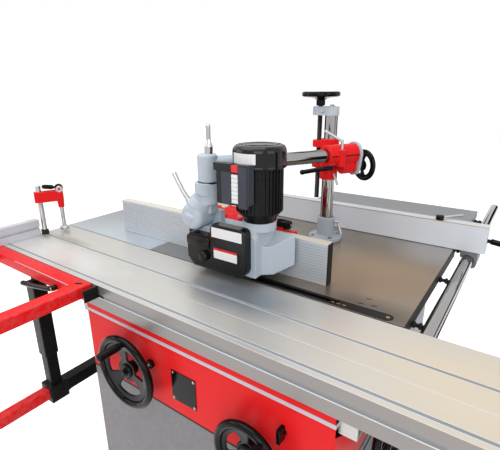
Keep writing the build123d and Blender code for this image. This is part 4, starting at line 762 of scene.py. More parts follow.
def cabinet():
    softened("cabinet_shell", red_enamel, 3.0)
    softened("cabinet_base", grey_enamel, 3.0)
    low, high = box_of("cabinet_shell")
    bottom, top, proud = 722, 734, 1.2
    bricks("cabinet_stripe", lilac_stripe_and_highlight, "machine",
           ((low.x - proud, low.y - proud, bottom), (high.x + proud, low.y + 2, top), 0.8),
           ((low.x - proud, low.y, bottom), (low.x + 2, high.y, top), 0.8),
           ((high.x - 2, low.y, bottom), (high.x + proud, high.y, top), 0.8))
    seam, plinth = 3, 46
    bricks("cabinet_plinth", satin_black, "machine",
           ((low.x - 0.8, low.y - 0.8, low.z - seam), (high.x + 0.8, high.y + 0.8, low.z + seam), 0.6),
           ((low.x - 2, low.y - 2, 0), (high.x + 2, high.y + 2, plinth), 1.5))
    left, right, bottom, top, inset = -60, 38, 548, 653, 7
    bricks("control_plate", gloss_black, "machine",
           ((left, low.y - 2.2, bottom), (right, low.y + 1, top), 1.0))
    corners = [(x, low.y - 2, z) for x in (left + inset, right - inset)
               for z in (bottom + inset, top - inset)]
    bolts("control_plate_screws", corners, FRONT, 3.2, steel, "machine", 2.0, 16)


def cabinet_sides():
    """Doors, louvres, hinges, locks and the dust port's collar."""
    low, high = box_of("cabinet_shell")
    bottom, top, proud = 66, 470, 2.5
    bricks("cabinet_doors", grey_door, "machine",
           ((high.x - 60, 90, bottom), (high.x + proud, 400, top), 1.2),
           ((high.x - 60, -400, bottom), (high.x + proud, -90, top), 1.2),
           ((low.x - proud, -330, bottom), (low.x + 5, 330, top), 1.2),
           ((-340, high.y - 5, bottom), (340, high.y + proud, top), 1.2))
    bricks("side_panel", grey_panel, "machine", ((high.x - 4, 60, 515), (high.x + 2, 416, 770), 1.2))
    louvres = bmesh.new()
    lean, thick, deep = math.radians(-32), 1.2, 9
    slat = bmesh.new()
    brick(slat, (-110, -thick, -deep), (110, thick, deep), 0.8, Matrix.Rotation(lean, 4, "X"))
    row(louvres, slat, grey_door, 11, (0, high.y + 4.5, 130), (0, 0, 24))
    slat = bmesh.new()
    brick(slat, (-thick, -90, -deep), (thick, 90, deep), 0.8, Matrix.Rotation(lean, 4, "Y"))
    row(louvres, slat, grey_door, 8, (low.x - 4.5, 0, 280), (0, 0, 22))
    make_piece("cabinet_louvres", louvres, grey_door, "machine")
    hinges = bmesh.new()
    barrel = [(0, -28), (6, -28), (6, -10), (6.6, -9), (6.6, 9), (6, 10), (6, 28), (0, 28)]
    for x, y in ((high.x + 4, 398), (high.x + 4, -398), (low.x - 4, 328)):
        for z in (130, 400):
            lathe(hinges, barrel, (x, y, z), steps=16)
    make_piece("door_hinges", hinges, steel, "machine")
    locks = bmesh.new()
    escutcheon = [(0, 0), (15, 0), (16, 2), (15, 6), (9, 8), (8, 6), (0, 6)]
    for x, y, way in ((high.x + 2, 110, RIGHT), (high.x + 2, -110, RIGHT), (low.x - 2, -310, LEFT)):
        lathe(locks, escutcheon, (x, y, 300), way, 24)
    make_piece("door_locks", locks, satin_black, "machine")
    screws = [(x, high.y + 2, z) for x in (-325, 0, 325) for z in (bottom + 14, top - 14)]
    bolts("back_panel_screws", screws, BACK, 5, steel, "machine")
    collar = [(53, -50), (63, -50), (63, -44), (61, -42), (61, -8), (63, -6), (63, 0), (60, 1), (53, 1)]
    port = (box_of("cabinet_base")[1].x, 0, 250)
    turned("dust_port_collar", satin_black, "machine", collar, port, RIGHT, 48, closed=True)


def cabinet_controls():
    """Handwheels with their handles, the lock knob and the main switch."""
    wheels = {"spindle_rise_wheel": (FRONT, 125), "saw_rise_wheel": (FRONT, 100),
              "saw_tilt_wheel": (RIGHT, 100)}
    rim, hub, dish = 12.0, 24.0, 12.0
    for node, (axis, radius) in wheels.items():
        handwheel(node + "_casting", node, joint_at(node + "_turn"), axis, radius, rim, hub, dish,
                  gloss_black)
    low, high = box_of("spindle_rise_handle")
    middle = (low + high) / 2
    turned("spindle_wheel_grip", gloss_black, "spindle_rise_handle", handle_profile(12.5, high.y - low.y),
           (middle.x, high.y, middle.z), FRONT, 28, node="spindle_rise_handle")
    for node, outward in (("saw_rise_wheel", (0.6, 0, 0.8)), ("saw_tilt_wheel", (0, 0.6, 0.8))):
        axis, radius = wheels[node]
        seat = joint_at(node + "_turn") + Vector(outward) * (radius - rim) + Vector(axis) * 8
        turned(node + "_grip", gloss_black, node, handle_profile(12.0, 88), seat, axis, 28)
    low, high = box_of("rise_lock_knob")
    middle = (low + high) / 2
    grip_knob("rise_lock_grip", "rise_lock_knob", (middle.x, high.y, middle.z), FRONT, 15, 26, 6, gloss_black)
    low, high = box_of("main_switch")
    middle = (low + high) / 2
    dial = bmesh.new()
    lathe(dial, [(0, 0), (24, 0), (24.5, 2), (24, 7), (21, 10), (0, 10)], (middle.x, high.y, middle.z),
          FRONT, 40)
    brick(dial, (middle.x - 6, low.y, middle.z - 21), (middle.x + 6, high.y - 8, middle.z + 21), 3)
    make_piece("main_switch_dial", dial, gloss_black, "main_switch", "main_switch")


# Tables, slide and outrigger

def flat_marks(name, finish, body, places, length, width, turn=0.0):
    """Thin long marks with round ends, a fifth of a millimetre proud of a top."""
    bm = bmesh.new()
    half, end, proud = length / 2, width / 2, 0.2
    outline = rounded([(-half, -end), (half, -end), (half, end), (-half, end)], end, 4)
    for place in places:
        prism(bm, outline, Matrix.Translation(place) @ Matrix.Rotation(turn, 4, "Z"), proud)
    make_piece(name, bm, finish, body)


def tables():
    softened("main_table", table_top, 1.5)
    softened("rear_table", sheet_grey, 2.0)
    softened("outfeed_table", outfeed_sheet, 2.0)
    softened("saw_insert", satin_black, 0.8)
    softened("slide_beam", anodised, 2.0)
    low, high = box_of("saw_insert")
    screw_y, gauge_y, sunk = -105, -110, 1.2
    screws = [(x, screw_y, high.z - sunk) for x in (low.x + 14, high.x - 14, low.x + 130)]
    bolts("insert_screws", screws, UP, 5, brass, "machine", 2.0, 18)
    slots = [(x, y, high.z) for x, y in ((388, -33), (378, -72), (414, -65))]
    flat_marks("table_slots", satin_black, "machine", slots, 16, 4, 0.2)
    flat_marks("insert_gauges", brass, "machine", [(x, gauge_y, high.z) for x in (306, 324, 342)],
               12, 4)
    low, high = box_of("main_table")
    bricks("main_table_side", iron_side, "machine",
           ((high.x - 0.5, low.y + 1, high.z - 44), (high.x + 0.6, high.y - 0.5, high.z - 1.6), 0.3))
    low, high = box_of("rear_table")
    ribs = bmesh.new()
    start = ((low.x + high.x) / 2, low.y + 60, low.z - 14)
    row(ribs, strip((high.x - low.x - 40, 5, 30)), sheet_grey, 6, start, (0, 96, 0))
    make_piece("rear_table_ribs", ribs, sheet_grey, "machine")


def slide():
    softened("sliding_table", slide_alloy, 1.2)
    low, high = box_of("sliding_table")
    left, right, front, top = low.x + 1, high.x - 1, low.y, high.z
    slots, slot_low, slot_high = (-419, -263), 808, 816
    # Painted highlights: thin bright lines along the near lip of each top slot, across part of the top, and under
    # the face slot.
    lip_highlights = [((left, y - 6.6, top - 0.1), (right, y - 4.6, top + 0.15)) for y in slots]
    bricks("slide_lines", bar_alloy_and_highlight, "sliding_table",
           ((-60, -342.5, top - 0.1), (right - 1, -340.5, top + 0.15)), *lip_highlights,
           ((left, front - 0.15, slot_low - 3.4), (right, front + 0.1, slot_low - 0.8)))
    bricks("slide_skirt", slide_alloy, "sliding_table",
           ((-470, front, low.z - 17.5), (right, front + 9, low.z + 2), 0.8))
    # A dark strip in the face slot, behind the end cap.
    bricks("outrigger_slider", satin_black, "sliding_table",
           ((-389, front - 0.8, slot_low - 0.2), (-338, front + 3, slot_high + 0.2), 0.3))
    # Painted shade: darker floors in the top slots and in the face slot.
    floors = [((left, y - 4.4, top - 9), (right, y + 4.4, top - 1.2)) for y in slots]
    bricks("slide_slot_floors", slot_painted_shade, "sliding_table", *floors,
           ((left, front + 2.2, slot_low), (right, front + 8, slot_high)))
    caps = bmesh.new()
    clear, slope, cap = low.z + 16, high.y - 58, 3.0
    outline = [(front, clear), (slope, clear), (high.y, top - 8), (high.y, top), (front, top)]
    for x, way in ((high.x, 1), (low.x, -1)):
        place = Matrix(((0, 0, way, x), (1, 0, 0, 0), (0, 1, 0, 0), (0, 0, 0, 1)))
        prism(caps, rounded(outline, 4, 3), place, cap, 1.0)
    make_piece("slide_end_caps", caps, satin_black, "sliding_table")
    spots = ((-420, 838), (-300, 838), (-200, 838), (-420, 810), (-230, 810))
    for name, x, way in (("slide_cap_screws", high.x + cap, RIGHT),
                         ("slide_cap_screws_left", low.x - cap, LEFT)):
        bolts(name, [(x, *spot) for spot in spots], way, 4, steel, "sliding_table", 2.5, 18)


def outrigger():
    softened("outrigger_frame", red_tube, 4.0)
    low, high = box_of("outrigger_frame")
    width, inner, gap = 52, -493.5, 0.3
    plugs = [((x - way, y + gap, low.z + gap), (x + way * 6, y + width - gap, high.z - gap), 1.5)
             for y in (low.y, inner) for x, way in ((high.x, 1), (low.x, -1))]
    bricks("tube_plugs", satin_black, "sliding_table", *plugs)
    flat_marks("tube_slot", slot_dark, "sliding_table", [(-424, -468, high.z)], 24, 11, 0.5)
    weld = bmesh.new()
    bead = bmesh.new()
    lathe(bead, [(0, -1.4), (2.2, -0.9), (2.8, 0), (2.2, 0.9), (0, 1.4)], (0, 0, 0), (1, 0, 0.4), 10)
    for y in (inner, low.y + width):
        for x in (-948, -441):
            row(weld, bead.copy(), weld_bright, 17, (x, y, low.z + 4), (0, 0, 2))
    bead.free()
    make_piece("frame_welds", weld, weld_bright, "sliding_table")
    # Painted highlight: a thin pale strip along the inner tube's top edge, where the glossy enamel catches a lamp.
    bricks("tube_edge", lilac_stripe_and_highlight, "sliding_table",
           ((-790, inner - 0.4, high.z - 1.6), (-443, inner + 1.3, high.z + 0.1), 0.4))
    pivot = joint_at("outrigger_lever_turn")
    lever = [(pivot, 10), ((pivot.x, -504, pivot.z), 10), ((-523, -510, 819.5), 9.6),
             ((-532, -513, 818.4), 8.6), ((-600, -518, 809), 8.4), ((-660, -519, 801), 9.2)]
    end = domed((-694, -519.5, 797), 9.4, (-183, -1, -24))
    rod("outrigger_grip", gloss_black, "outrigger_lever", lever + end, 20, "outrigger_lever")
    bolts("outrigger_pivot_screw", [(pivot.x, -513, pivot.z)], FRONT, 6, brass, "outrigger_lever", 3, 18)


def support():
    softened("support_post", satin_black, 3.0)
    softened("swing_arm", satin_black, 3.0)
    softened("swing_extension", red_tube, 3.0)
    turned("support_clamp_screw", gloss_black, "support_post", handle_profile(9, 34), (-738, -467.5, 520),
           LEFT, 20)


# Cross-cut fence and its hold-down clamp

def crosscut():
    softened("crosscut_fence", lilac_alloy, 1.0)
    low, high = box_of("crosscut_fence")
    bricks("crosscut_fence_cap", satin_black, "crosscut_fence",
           ((low.x - 1, low.y - 3, low.z + 1), (high.x + 1, low.y + 1, high.z + 1), 1.0))
    bricks("crosscut_scale_bare", white_plate, "crosscut_fence",
           ((low.x + 4, low.y + 40, high.z - 0.2), (low.x + 14, high.y - 40, high.z + 0.25)))


def clamp():
    low, high = box_of("clamp_post")
    stand = (low + high) / 2
    half, foot_low, foot_high = 12, 850.2, 872
    post = [(0, foot_high - 2), (10, foot_high - 2), (10, high.z - 3), (8, high.z), (0, high.z)]
    turned("clamp_rod", chrome, "clamp_post", post, (stand.x, stand.y, 0), steps=28, node="clamp_post")
    bricks("clamp_foot", slate_dark, "clamp_post",
           ((stand.x - half, stand.y - half, foot_low), (stand.x + half, stand.y + half, foot_high), 2.0))
    low, high = box_of("clamp_plunger")
    tip = (low + high) / 2
    nose = bmesh.new()
    bar(nose, [((tip.x, tip.y, z), radius) for z, radius in ((1022, 15), (990, 14), (962, 12))], 20)
    cast("clamp_arm", red_casting, 1.3, 5, extra=nose)
    plunger = [(0, low.z), (17, low.z), (19, low.z + 2), (19, low.z + 11), (17, low.z + 13), (10, low.z + 15),
               (8, low.z + 18), (8, high.z - 1), (6, high.z), (0, high.z)]
    turned("clamp_plunger_rod", chrome, "clamp_plunger", plunger, (tip.x, tip.y, 0), steps=28,
           node="clamp_plunger")
    reach = Vector((tip.x - stand.x, tip.y - stand.y, 0)).normalized()
    across = Vector((reach.y, -reach.x, 0))
    cam_height = 1044.7
    pivot = Vector((tip.x, tip.y, cam_height))
    cam = bmesh.new()
    disc = [(0, -5.6), (16, -5.6), (17, -4.6), (17, 4.6), (16, 5.6), (0, 5.6)]
    lathe(cam, disc, pivot + Vector((0, 0, 4.2)), across, 36)
    grip = pivot + Vector((0, 0, 5))
    back = (-reach + Vector((0, 0, 0.16))).normalized()
    lathe(cam, [(0, 8), (5, 8), (5, 20), (8.6, 23), (8.9, 60), (6, 65), (0, 66)], grip, back, 24)
    ring(cam, strip((1.6, 2.0, 30)), gloss_black, 16, 8.8, grip + back * 41, back)
    make_piece("clamp_cam", cam, gloss_black, "clamp_cam_lever", "clamp_cam_lever")
    discs = bmesh.new()
    cap = [(0, 0), (14.5, 0), (14.5, 2), (13, 3.4), (6, 3.4), (5, 2.4), (0, 2.4)]
    for way in (-1, 1):
        lathe(discs, cap, pivot + across * way * 12.2, across * way, 28)
    make_piece("clamp_pin_caps", discs, steel, "clamp_arm")


# Saw blade below the table

def saw():
    low, high = box_of("saw_blade")
    centre = (low + high) / 2
    root = (high.z - low.z) / 2 - 9
    disc = bmesh.new()
    lathe(disc, [(16, -1.2), (root, -1.2), (root, 1.2), (16, 1.2)], centre, BACK, 96, closed=True)
    tooth = bmesh.new()
    prism(tooth, [(-6, -5), (0, -6), (9, 4.5), (8.4, 7), (1, 5)], Matrix.Translation((0, 0, -1.5)), 3.0)
    ring(disc, tooth, blade_steel, 48, root, centre, BACK)
    make_piece("saw_blade_disc", disc, blade_steel, "saw_arbor", "saw_blade")


# Moulding fence and its hood

def fence_plate(node):
    """A ribbed alloy plate with a painted highlight along its top edge, painted shade between the ribs, and black
    ends.
    """
    softened(node, fence_alloy, 1.2)
    low, high = box_of(node)
    length, middle, pitch = high.x - low.x - 1, (low.x + high.x) / 2, (0, 0, 9.45)
    ribs = bmesh.new()
    row(ribs, strip((length, 1.6, 7.2)), fence_alloy, 14, (middle, low.y + 0.1, low.z + 8.5), pitch)
    make_piece(node + "_ribs", ribs, fence_alloy, node)
    # Painted shade: darker strips between the ribs stand in for the shade in the grooves.
    grooves = bmesh.new()
    row(grooves, strip((length, 1.2, 1.5)), groove_painted_shade, 13, (middle, low.y - 0.3, low.z + 13.2), pitch)
    make_piece(node + "_grooves", grooves, groove_painted_shade, node)
    # Painted highlight: a cream strip along the top edge, where the plate catches the light.
    bricks(node + "_top", cream_and_highlight, node,
           ((low.x + 0.5, low.y + 0.5, high.z - 1), (high.x - 0.5, low.y + 35, high.z + 0.3), 0.4))
    ends = [((x - 1, low.y + 1.5, low.z + 1.5), (x + way * 2.5, low.y + 34, high.z - 1), 1.0)
            for x, way in ((low.x, -1), (high.x, 1))]
    bricks(node + "_caps", satin_black, node, *ends)


def moulding_fence():
    fence_plate("fence_plate_left")
    fence_plate("fence_plate_right")
    softened("fence_hood", hood_red, 2.5)
    hood_top, outlet = 988.3, (-246, 176, 919.3)
    screws = [(x, y, hood_top) for y in (60, 150) for x in (-330, -162)]
    bolts("hood_screws", screws, UP, 6, steel, "fence_hood")
    collar = [(44, 0), (53, 0), (53, 4), (51, 6), (51, 30), (53, 32), (53, 38), (44, 38)]
    turned("hood_collar", satin_black, "fence_hood", collar, outlet, BACK, 48, closed=True)
    low, high = box_of("fence_knob")
    middle = (low + high) / 2
    grip_knob("fence_clamp_star", "fence_knob", (low.x, middle.y, middle.z), RIGHT, 17, high.x - low.x, 7,
              gloss_black)
    bricks("fence_lug_foot", red_casting, "fence_hood", ((28, 6.5, 976), (104, 31, 992), 2.0))


# Rip fence on its round rail

def rip_fence():
    low, high = box_of("rip_rail")
    rail_x, rail_z, stud_x, length = 569.0, 814.0, 515, high.y - low.y
    rail = [(0, 0), (19, 0), (22, 3), (22, length - 3), (19, length), (0, length)]
    turned("rip_rail_rod", chrome_lines, "machine", rail, (rail_x, low.y, rail_z), BACK, 48,
           node="rip_rail")
    studs = bmesh.new()
    nut = [(0, 0), (9, 0), (10, 1.4), (10, 7), (9, 8.4), (0, 8.4)]
    for y in (-39, 310, 640, 1120):
        lathe(studs, [(0, 0), (6, 0), (6, 40), (0, 40)], (stud_x, y, rail_z), RIGHT, 20)
        for start in (stud_x + 3, stud_x + 21):
            lathe(studs, nut, (start, y, rail_z), RIGHT, 6)
    make_piece("rail_studs", studs, satin_black, "machine")
    cast("rip_fence_head", dark_casting, 1.8, 6)
    softened("rip_fence_bar", bar_alloy_and_highlight, 1.2)
    low, high = box_of("rip_fence_bar")
    bricks("rip_bar_edge", gold_edge, "rip_fence_bar",
           ((low.x + 1, low.y - 0.15, high.z - 2.6), (high.x - 1, low.y + 3, high.z + 0.15), 0.1))
    bricks("rip_bar_cap", satin_black, "rip_fence_bar",
           ((low.x - 3, low.y + 1, low.z + 1), (low.x + 1, high.y - 1, high.z - 1), 1.2))
    knob = [(0, 957.2), (14, 957.2), (15, 959), (15, 972), (13, 974.4), (7, 975.6), (0, 975.6)]
    pivot = joint_at("rip_top_lever_turn")
    turned("rip_top_knob", gloss_black, "rip_top_lever", knob, (pivot.x, pivot.y, 0), steps=28,
           node="rip_top_lever")
    stations = [((456, 565, 966), 4.2), ((500, 613, 967), 4.6)] + domed((517, 632, 967), 5.0, (68, 75, 0))
    rod("rip_top_rod", cast_alloy, "rip_top_lever", stations)


# Power feeder

def feeder_stand():
    cast("feeder_base", hammer_grey, 2.2, 6)
    column, screw = joint_at("column_swivel"), joint_at("height_wheel_turn")
    circle, base_top = 54, 868
    places = [(column.x + circle * math.cos(t), column.y + circle * math.sin(t), base_top)
              for t in (0.8, 2.37, 3.94, 5.5)]
    bolts("feeder_base_bolts", places, UP, 7, steel, "machine")
    low, high = box_of("feeder_column")
    tube = [(0, low.z), (25, low.z), (25, high.z - 3), (23, high.z), (0, high.z)]
    turned("column_tube", chrome_lines, "feeder_column", tube, (column.x, column.y, 0), steps=48,
           node="feeder_column")
    bracket = bmesh.new()
    wide, bottom, thick = 28.5, 1352, 32
    outline = arc(screw.x, screw.y, wide, math.pi / 2) + arc(column.x, column.y, wide, -math.pi / 2)
    prism(bracket, outline, Matrix.Translation((0, 0, bottom)), thick, 3.0)
    make_piece("column_bracket", bracket, pale_casting, "feeder_column")
    bolts("bracket_bolt", [(column.x, column.y, bottom + thick)], UP, 9, steel, "feeder_column")
    bolts("bracket_side_bolt", [(24, 352, bottom + thick / 2)], FRONT, 6, steel, "feeder_column")


def height_wheel():
    low, high = box_of("feeder_height_wheel")
    screw, top, pitch = joint_at("height_wheel_turn"), high.z, 4
    centre, hub = (screw.x, screw.y, 0), high.z - 52
    wheel = bmesh.new()
    lathe(wheel, [(0, hub), (15, hub), (17, top - 49), (17, top - 32), (24, top - 26), (44, top - 21),
                  (62, top - 20), (69, top - 18), (72, top - 12), (72, top - 7), (69, top - 1), (63, top),
                  (56, top - 2), (50, top - 6), (24, top - 8), (20, top - 4), (0, top - 4)], centre, steps=64)
    ring(wheel, strip((3, 7, 13)), gloss_black, 24, 71, (screw.x, screw.y, top - 9.5))
    make_piece("height_wheel_casting", wheel, gloss_black, "feeder_height_wheel", "feeder_height_wheel")
    thread = []
    for k in range(int((hub - low.z) / pitch)):
        thread += [(10, low.z + pitch * k), (8.4, low.z + pitch * (k + 0.5))]
    thread = [(0, low.z)] + thread + [(9, hub), (9, top - 40), (0, top - 40)]
    turned("height_screw", dark_steel, "feeder_height_wheel", thread, centre, steps=20)


def crosshead():
    """The red cross-head with its end flange, the arm and the arm's wheel."""
    along, side, up = Vector((0.4648, 0.8854, 0)), Vector((0.8854, -0.4648, 0)), Vector(UP)
    axis_point = Vector((111.35, 347.03, 1211))
    flange_reach, wheel_reach, wheel_drop = 62, 116, 50
    centre = axis_point + along * flange_reach
    cast("feeder_crosshead", red_casting, 2.0, 5, cut=(centre, along))
    flange = bmesh.new()
    face = Matrix((side, up, along)).transposed().to_4x4()
    outline = arc(0, 0, 45, 0) + [(-36, -56), (-27, -76), (0, -84), (27, -76), (36, -56)]
    prism(flange, outline, Matrix.Translation(centre - along * 5) @ face, 12, 2.5)
    make_piece("crosshead_flange", flange, pale_casting, "feeder_crosshead")
    turn = Matrix((along, side, up)).transposed().to_4x4()
    bricks("crosshead_split", slot_dark, "feeder_crosshead",
           ((-72, 30, -1.8), (56, 40.2, 1.8), 0.0, Matrix.Translation(axis_point) @ turn))
    spots = [centre + along * 7 + side * a + up * b for a, b in ((28, 14), (-28, 14), (18, -62), (-18, -62))]
    bolts("flange_screws", spots, along, 4.5, satin_black, "feeder_crosshead", 4, 18)
    stations = [((82, 355, 1132), 4.2), ((92, 350, 1114), 4.2)] + domed((103, 344, 1096), 4.6, (11, -6, -18))
    rod("crosshead_lock_rod", cast_alloy, "feeder_crosshead", stations, 16)
    wheel = axis_point + along * wheel_reach - up * wheel_drop
    handwheel("arm_wheel_casting", "feeder_arm_wheel", wheel, along, 62, 8.0, 17.0, 8.0, gloss_black, 14, 2,
              math.radians(-70))
    hub = [(0, -46), (24, -46), (24, -34), (17, -30), (15, -10), (0, -10)]
    turned("arm_wheel_hub", gloss_black, "feeder_arm_wheel", hub, wheel, along, 32)
    ends = ELBOW, (139.2, 400.2, ELBOW.z)
    rod("feeder_arm_tube", chrome_lines, "feeder_arm", [(end, 24) for end in ends], 40, "feeder_arm")


def feeder_levers():
    for node, finish in (("crosshead_top_lever", cast_alloy), ("crosshead_low_lever", gloss_black),
                         ("base_lever", cast_alloy), ("rip_clamp_lever", gloss_black)):
        softened(node, finish, 0.6)
    lever = [((-191, -170, 1088), 11), ((-197, -170.5, 1098), 11), ((-202, -171, 1105), 9),
             ((-217, -173, 1124), 7.4), ((-238, -176, 1160), 7.2)]
    end = domed((-249, -178, 1183), 7.8, (-46, -8, 92))
    rod("swivel_lever_rod", cast_alloy, "swivel_lever", lever + end, 20, "swivel_lever")


def feeder_head():
    """The pale castings between the arm and the motor: elbow, swivel and gearbox."""
    cast("feeder_elbow", pale_casting, 2.0, 6, cut=((0, 0, 1253), UP))
    bulb = bmesh.new()
    neck = [((-147, -138, 1160.5), 37), ((-147, -138, 1122), 37.5), ((-156, -141.5, 1100), 40),
            ((-172, -148, 1078), 44.5), ((-180, -151, 1050), 46)]
    bar(bulb, neck + domed((-180, -151, 1046), 46, (0, 0, -1)), 36)
    cast("feeder_swivel", pale_casting, 2.0, 5, extra=bulb)
    seam = [(20, 1158), (34, 1158), (34, 1163.4), (20, 1163.4)]
    turned("swivel_seam", slot_dark, "feeder_swivel", seam, (ELBOW.x, ELBOW.y, 0), closed=True)
    cast("feeder_gearbox", pale_casting, 2.0, 4)
    top = box_of("feeder_elbow")[1].z
    grip = [(0, 1240), (13.5, 1240), (13.5, 1274), (12, 1278), (8, 1288), (7, 1300), (7, top - 6),
            (5.5, top - 1.5), (3, top), (0, top)]
    turned("elbow_grip", chrome, "feeder_elbow", grip, (ELBOW.x + 5.3, ELBOW.y + 3.8, 0), steps=28)


def feeder_motor():
    low, high = box_of("feeder_motor")
    x, y, foot, rim, top = 39.0, -100.0, low.z, 1224, high.z
    can = bmesh.new()
    lathe(can, [(0, foot), (50, foot), (53, foot + 3), (54, foot + 10), (60, foot + 20), (68, foot + 29),
                (69, foot + 34), (69, rim + 8), (0, rim + 8)], (x, y, 0), steps=64)
    fin = bmesh.new()
    brick(fin, (-4, -1.7, 0), (3.5, 1.7, 140), 0.7)
    ring(can, fin, motor_black, 36, 70.5, (x, y, foot + 33))
    make_piece("motor_body", can, motor_black, "feeder_gearbox", "feeder_motor")
    cowl = [(70, rim), (81.5, rim), (83.4, rim + 2), (83.4, rim + 7), (82, rim + 10), (82, top - 20),
            (81, top - 13), (78, top - 7), (73, top - 2.6), (66, top - 0.4), (57, top),
            (52, top - 1), (48, top - 3), (0, top - 4)]
    turned("motor_cowl", cowl_black, "feeder_gearbox", cowl, (x, y, 0), steps=72)
    slot = bmesh.new()
    brick(slot, (-11, -1.6, 0), (11, 1.6, 0.5), 0.2)
    vents = bmesh.new()
    ring(vents, slot, slot_dark, 18, 30, (x, y, top - 4))
    make_piece("motor_vents", vents, slot_dark, "feeder_gearbox")
    plate = bmesh.new()
    steps = 20
    turns = [math.radians(-123 + 59 * k / steps) for k in range(steps + 1)]
    for radius in (81.8, 82.7):
        rings = [[plate.verts.new((x + radius * math.cos(t), y + radius * math.sin(t), z)) for t in turns]
                 for z in (rim + 17, rim + 47)]
        for k in range(steps):
            plate.faces.new((rings[0][k], rings[0][k + 1], rings[1][k + 1], rings[1][k]))
    bmesh.ops.bridge_loops(plate, edges=[e for e in plate.edges if e.is_boundary])
    make_piece("motor_plate", plate, white_plate, "feeder_gearbox")


def feeder_cover():
    """The moulded black cover with its raised pad, bare plates, slot and knob."""
    low, high = box_of("feeder_cover")
    face, depth = low.y, high.y - low.y
    left, step_x, right = -194, -92, 46
    bottom, step_z, top = 881, 996, 1041
    shell = bmesh.new()
    corners = [(left, bottom), (right, bottom), (right, top), (step_x, top), (step_x, step_z), (left, step_z)]
    front = Matrix(((1, 0, 0, 0), (0, 0, -1, high.y), (0, 1, 0, 0), (0, 0, 0, 1)))
    prism(shell, rounded(corners, (34, 34, 22, 16, 14, 16), 8), front, depth, 9.0, 5)
    pad = [(-192, 950), (-96, 950), (-96, 990), (-192, 990)]
    prism(shell, rounded(pad, 9, 5), front, depth + 5, 4.0, 4)
    make_piece("feeder_cover_shell", shell, cover_black, "feeder_gearbox", "feeder_cover", weighted=False)
    bricks("cover_plates", white_plate, "feeder_gearbox", ((-86, face - 0.8, 998), (34, face + 1, 1031), 0.4),
           ((-79, face - 0.8, 927), (15, face + 1, 962), 0.4))
    bricks("cover_plate_band", red_enamel, "feeder_gearbox",
           ((-79, face - 1, 955), (15, face + 1, 962.2), 0.3))
    bricks("cover_slot", slot_dark, "feeder_gearbox", ((20, face - 0.5, 924), (24, face + 1, 958), 0.3))
    knob = [(0, 0), (17, 0), (18, 3), (18, 10), (15, 15), (8, 17), (0, 17.4)]
    turned("cover_knob", cover_black, "feeder_gearbox", knob, (-119, face, 925), FRONT, 36)


def switch_box():
    """The motor's switch: dark case, slate lid panels and lip, a plain strip and the cable gland."""
    low, high = box_of("switch_box")
    face, bottom, lip, top = low.y, low.z, high.z - 22, high.z
    case = bmesh.new()
    brick(case, (low.x + 7, face, bottom), (high.x - 2, face + 34, top - 1), 3.0)
    brick(case, (low.x + 24, face + 30, bottom + 14), (high.x - 24, high.y, top - 14), 2.0)
    make_piece("switch_case", case, slate_dark, "feeder_gearbox", "switch_box")
    panels = bmesh.new()
    brick(panels, (-24, face - 3, bottom + 3), (12, face + 6, lip), 1.0)
    brick(panels, (37.5, face - 3, bottom - 4), (67, face + 6, top - 5), 1.0)
    rib = strip((5, 8, top - bottom - 8))
    row(panels, rib, slate, 3, (high.x - 2.4, face + 5.5, (bottom + top) / 2), (0, 11, 0))
    make_piece("switch_lid_panels", panels, slate, "feeder_gearbox")
    bricks("switch_lid_lip", slate_dark, "feeder_gearbox",
           ((low.x, face - 4, lip), (12, face + 20, top + 1), 2.0),
           ((40, face - 2, bottom - 7), (64, face + 14, bottom + 2), 1.5))
    bricks("switch_strip_red", red_enamel, "feeder_gearbox",
           ((13, face - 3.4, lip), (36.5, face + 1, top - 2), 0.4))
    cells = bmesh.new()
    row(cells, strip((23.5, 6.4, 11.9)), white_plate, 7, (24.7, face - 0.2, bottom + 14), (0, 0, 12.3))
    make_piece("switch_strip_white", cells, white_plate, "feeder_gearbox")
    gland = bmesh.new()
    brick(gland, (-47, face + 6, bottom - 8), (-6, face + 24, bottom + 1), 2.0)
    nut = [(0, 2), (8, 2), (8, -6), (9, -7), (9, -13), (6, -15), (0, -15)]
    lathe(gland, nut, (-28, face + 15, bottom), steps=6)
    make_piece("switch_gland", gland, cream_and_highlight, "feeder_gearbox")


def rollers():
    for k in (1, 2, 3):
        node = "feeder_roller_%d" % k
        low, high = box_of(node)
        middle = (low + high) / 2
        end = (middle.x, low.y, middle.z)
        radius, width = (high.z - low.z) / 2, high.y - low.y
        tyre = bmesh.new()
        lathe(tyre, [(radius - 13, 0), (radius - 5, 0), (radius - 3, 3), (radius - 3, width - 3),
                     (radius - 5, width), (radius - 13, width)], end, BACK, 48, closed=True)
        ring(tyre, strip((3, 4, width - 8)), rubber, 36, radius - 2.2, middle, BACK)
        make_piece(node + "_tyre", tyre, rubber, node, node)
        hub = [(0, 2), (10, 2), (12, 5), (radius - 14, 6), (radius - 12.5, 2), (radius - 12.5, width - 2),
               (radius - 14, width - 6), (12, width - 5), (10, width - 2), (0, width - 2)]
        turned(node + "_hub", steel, node, hub, end, BACK, 36)


cabinet()
cabinet_sides()
cabinet_controls()
tables()
slide()
outrigger()
support()
crosscut()
clamp()
saw()
moulding_fence()
rip_fence()
feeder_stand()
height_wheel()
crosshead()
feeder_levers()
feeder_head()
feeder_motor()
feeder_cover()
switch_box()
rollers()


# Camera, light and floor, in metres

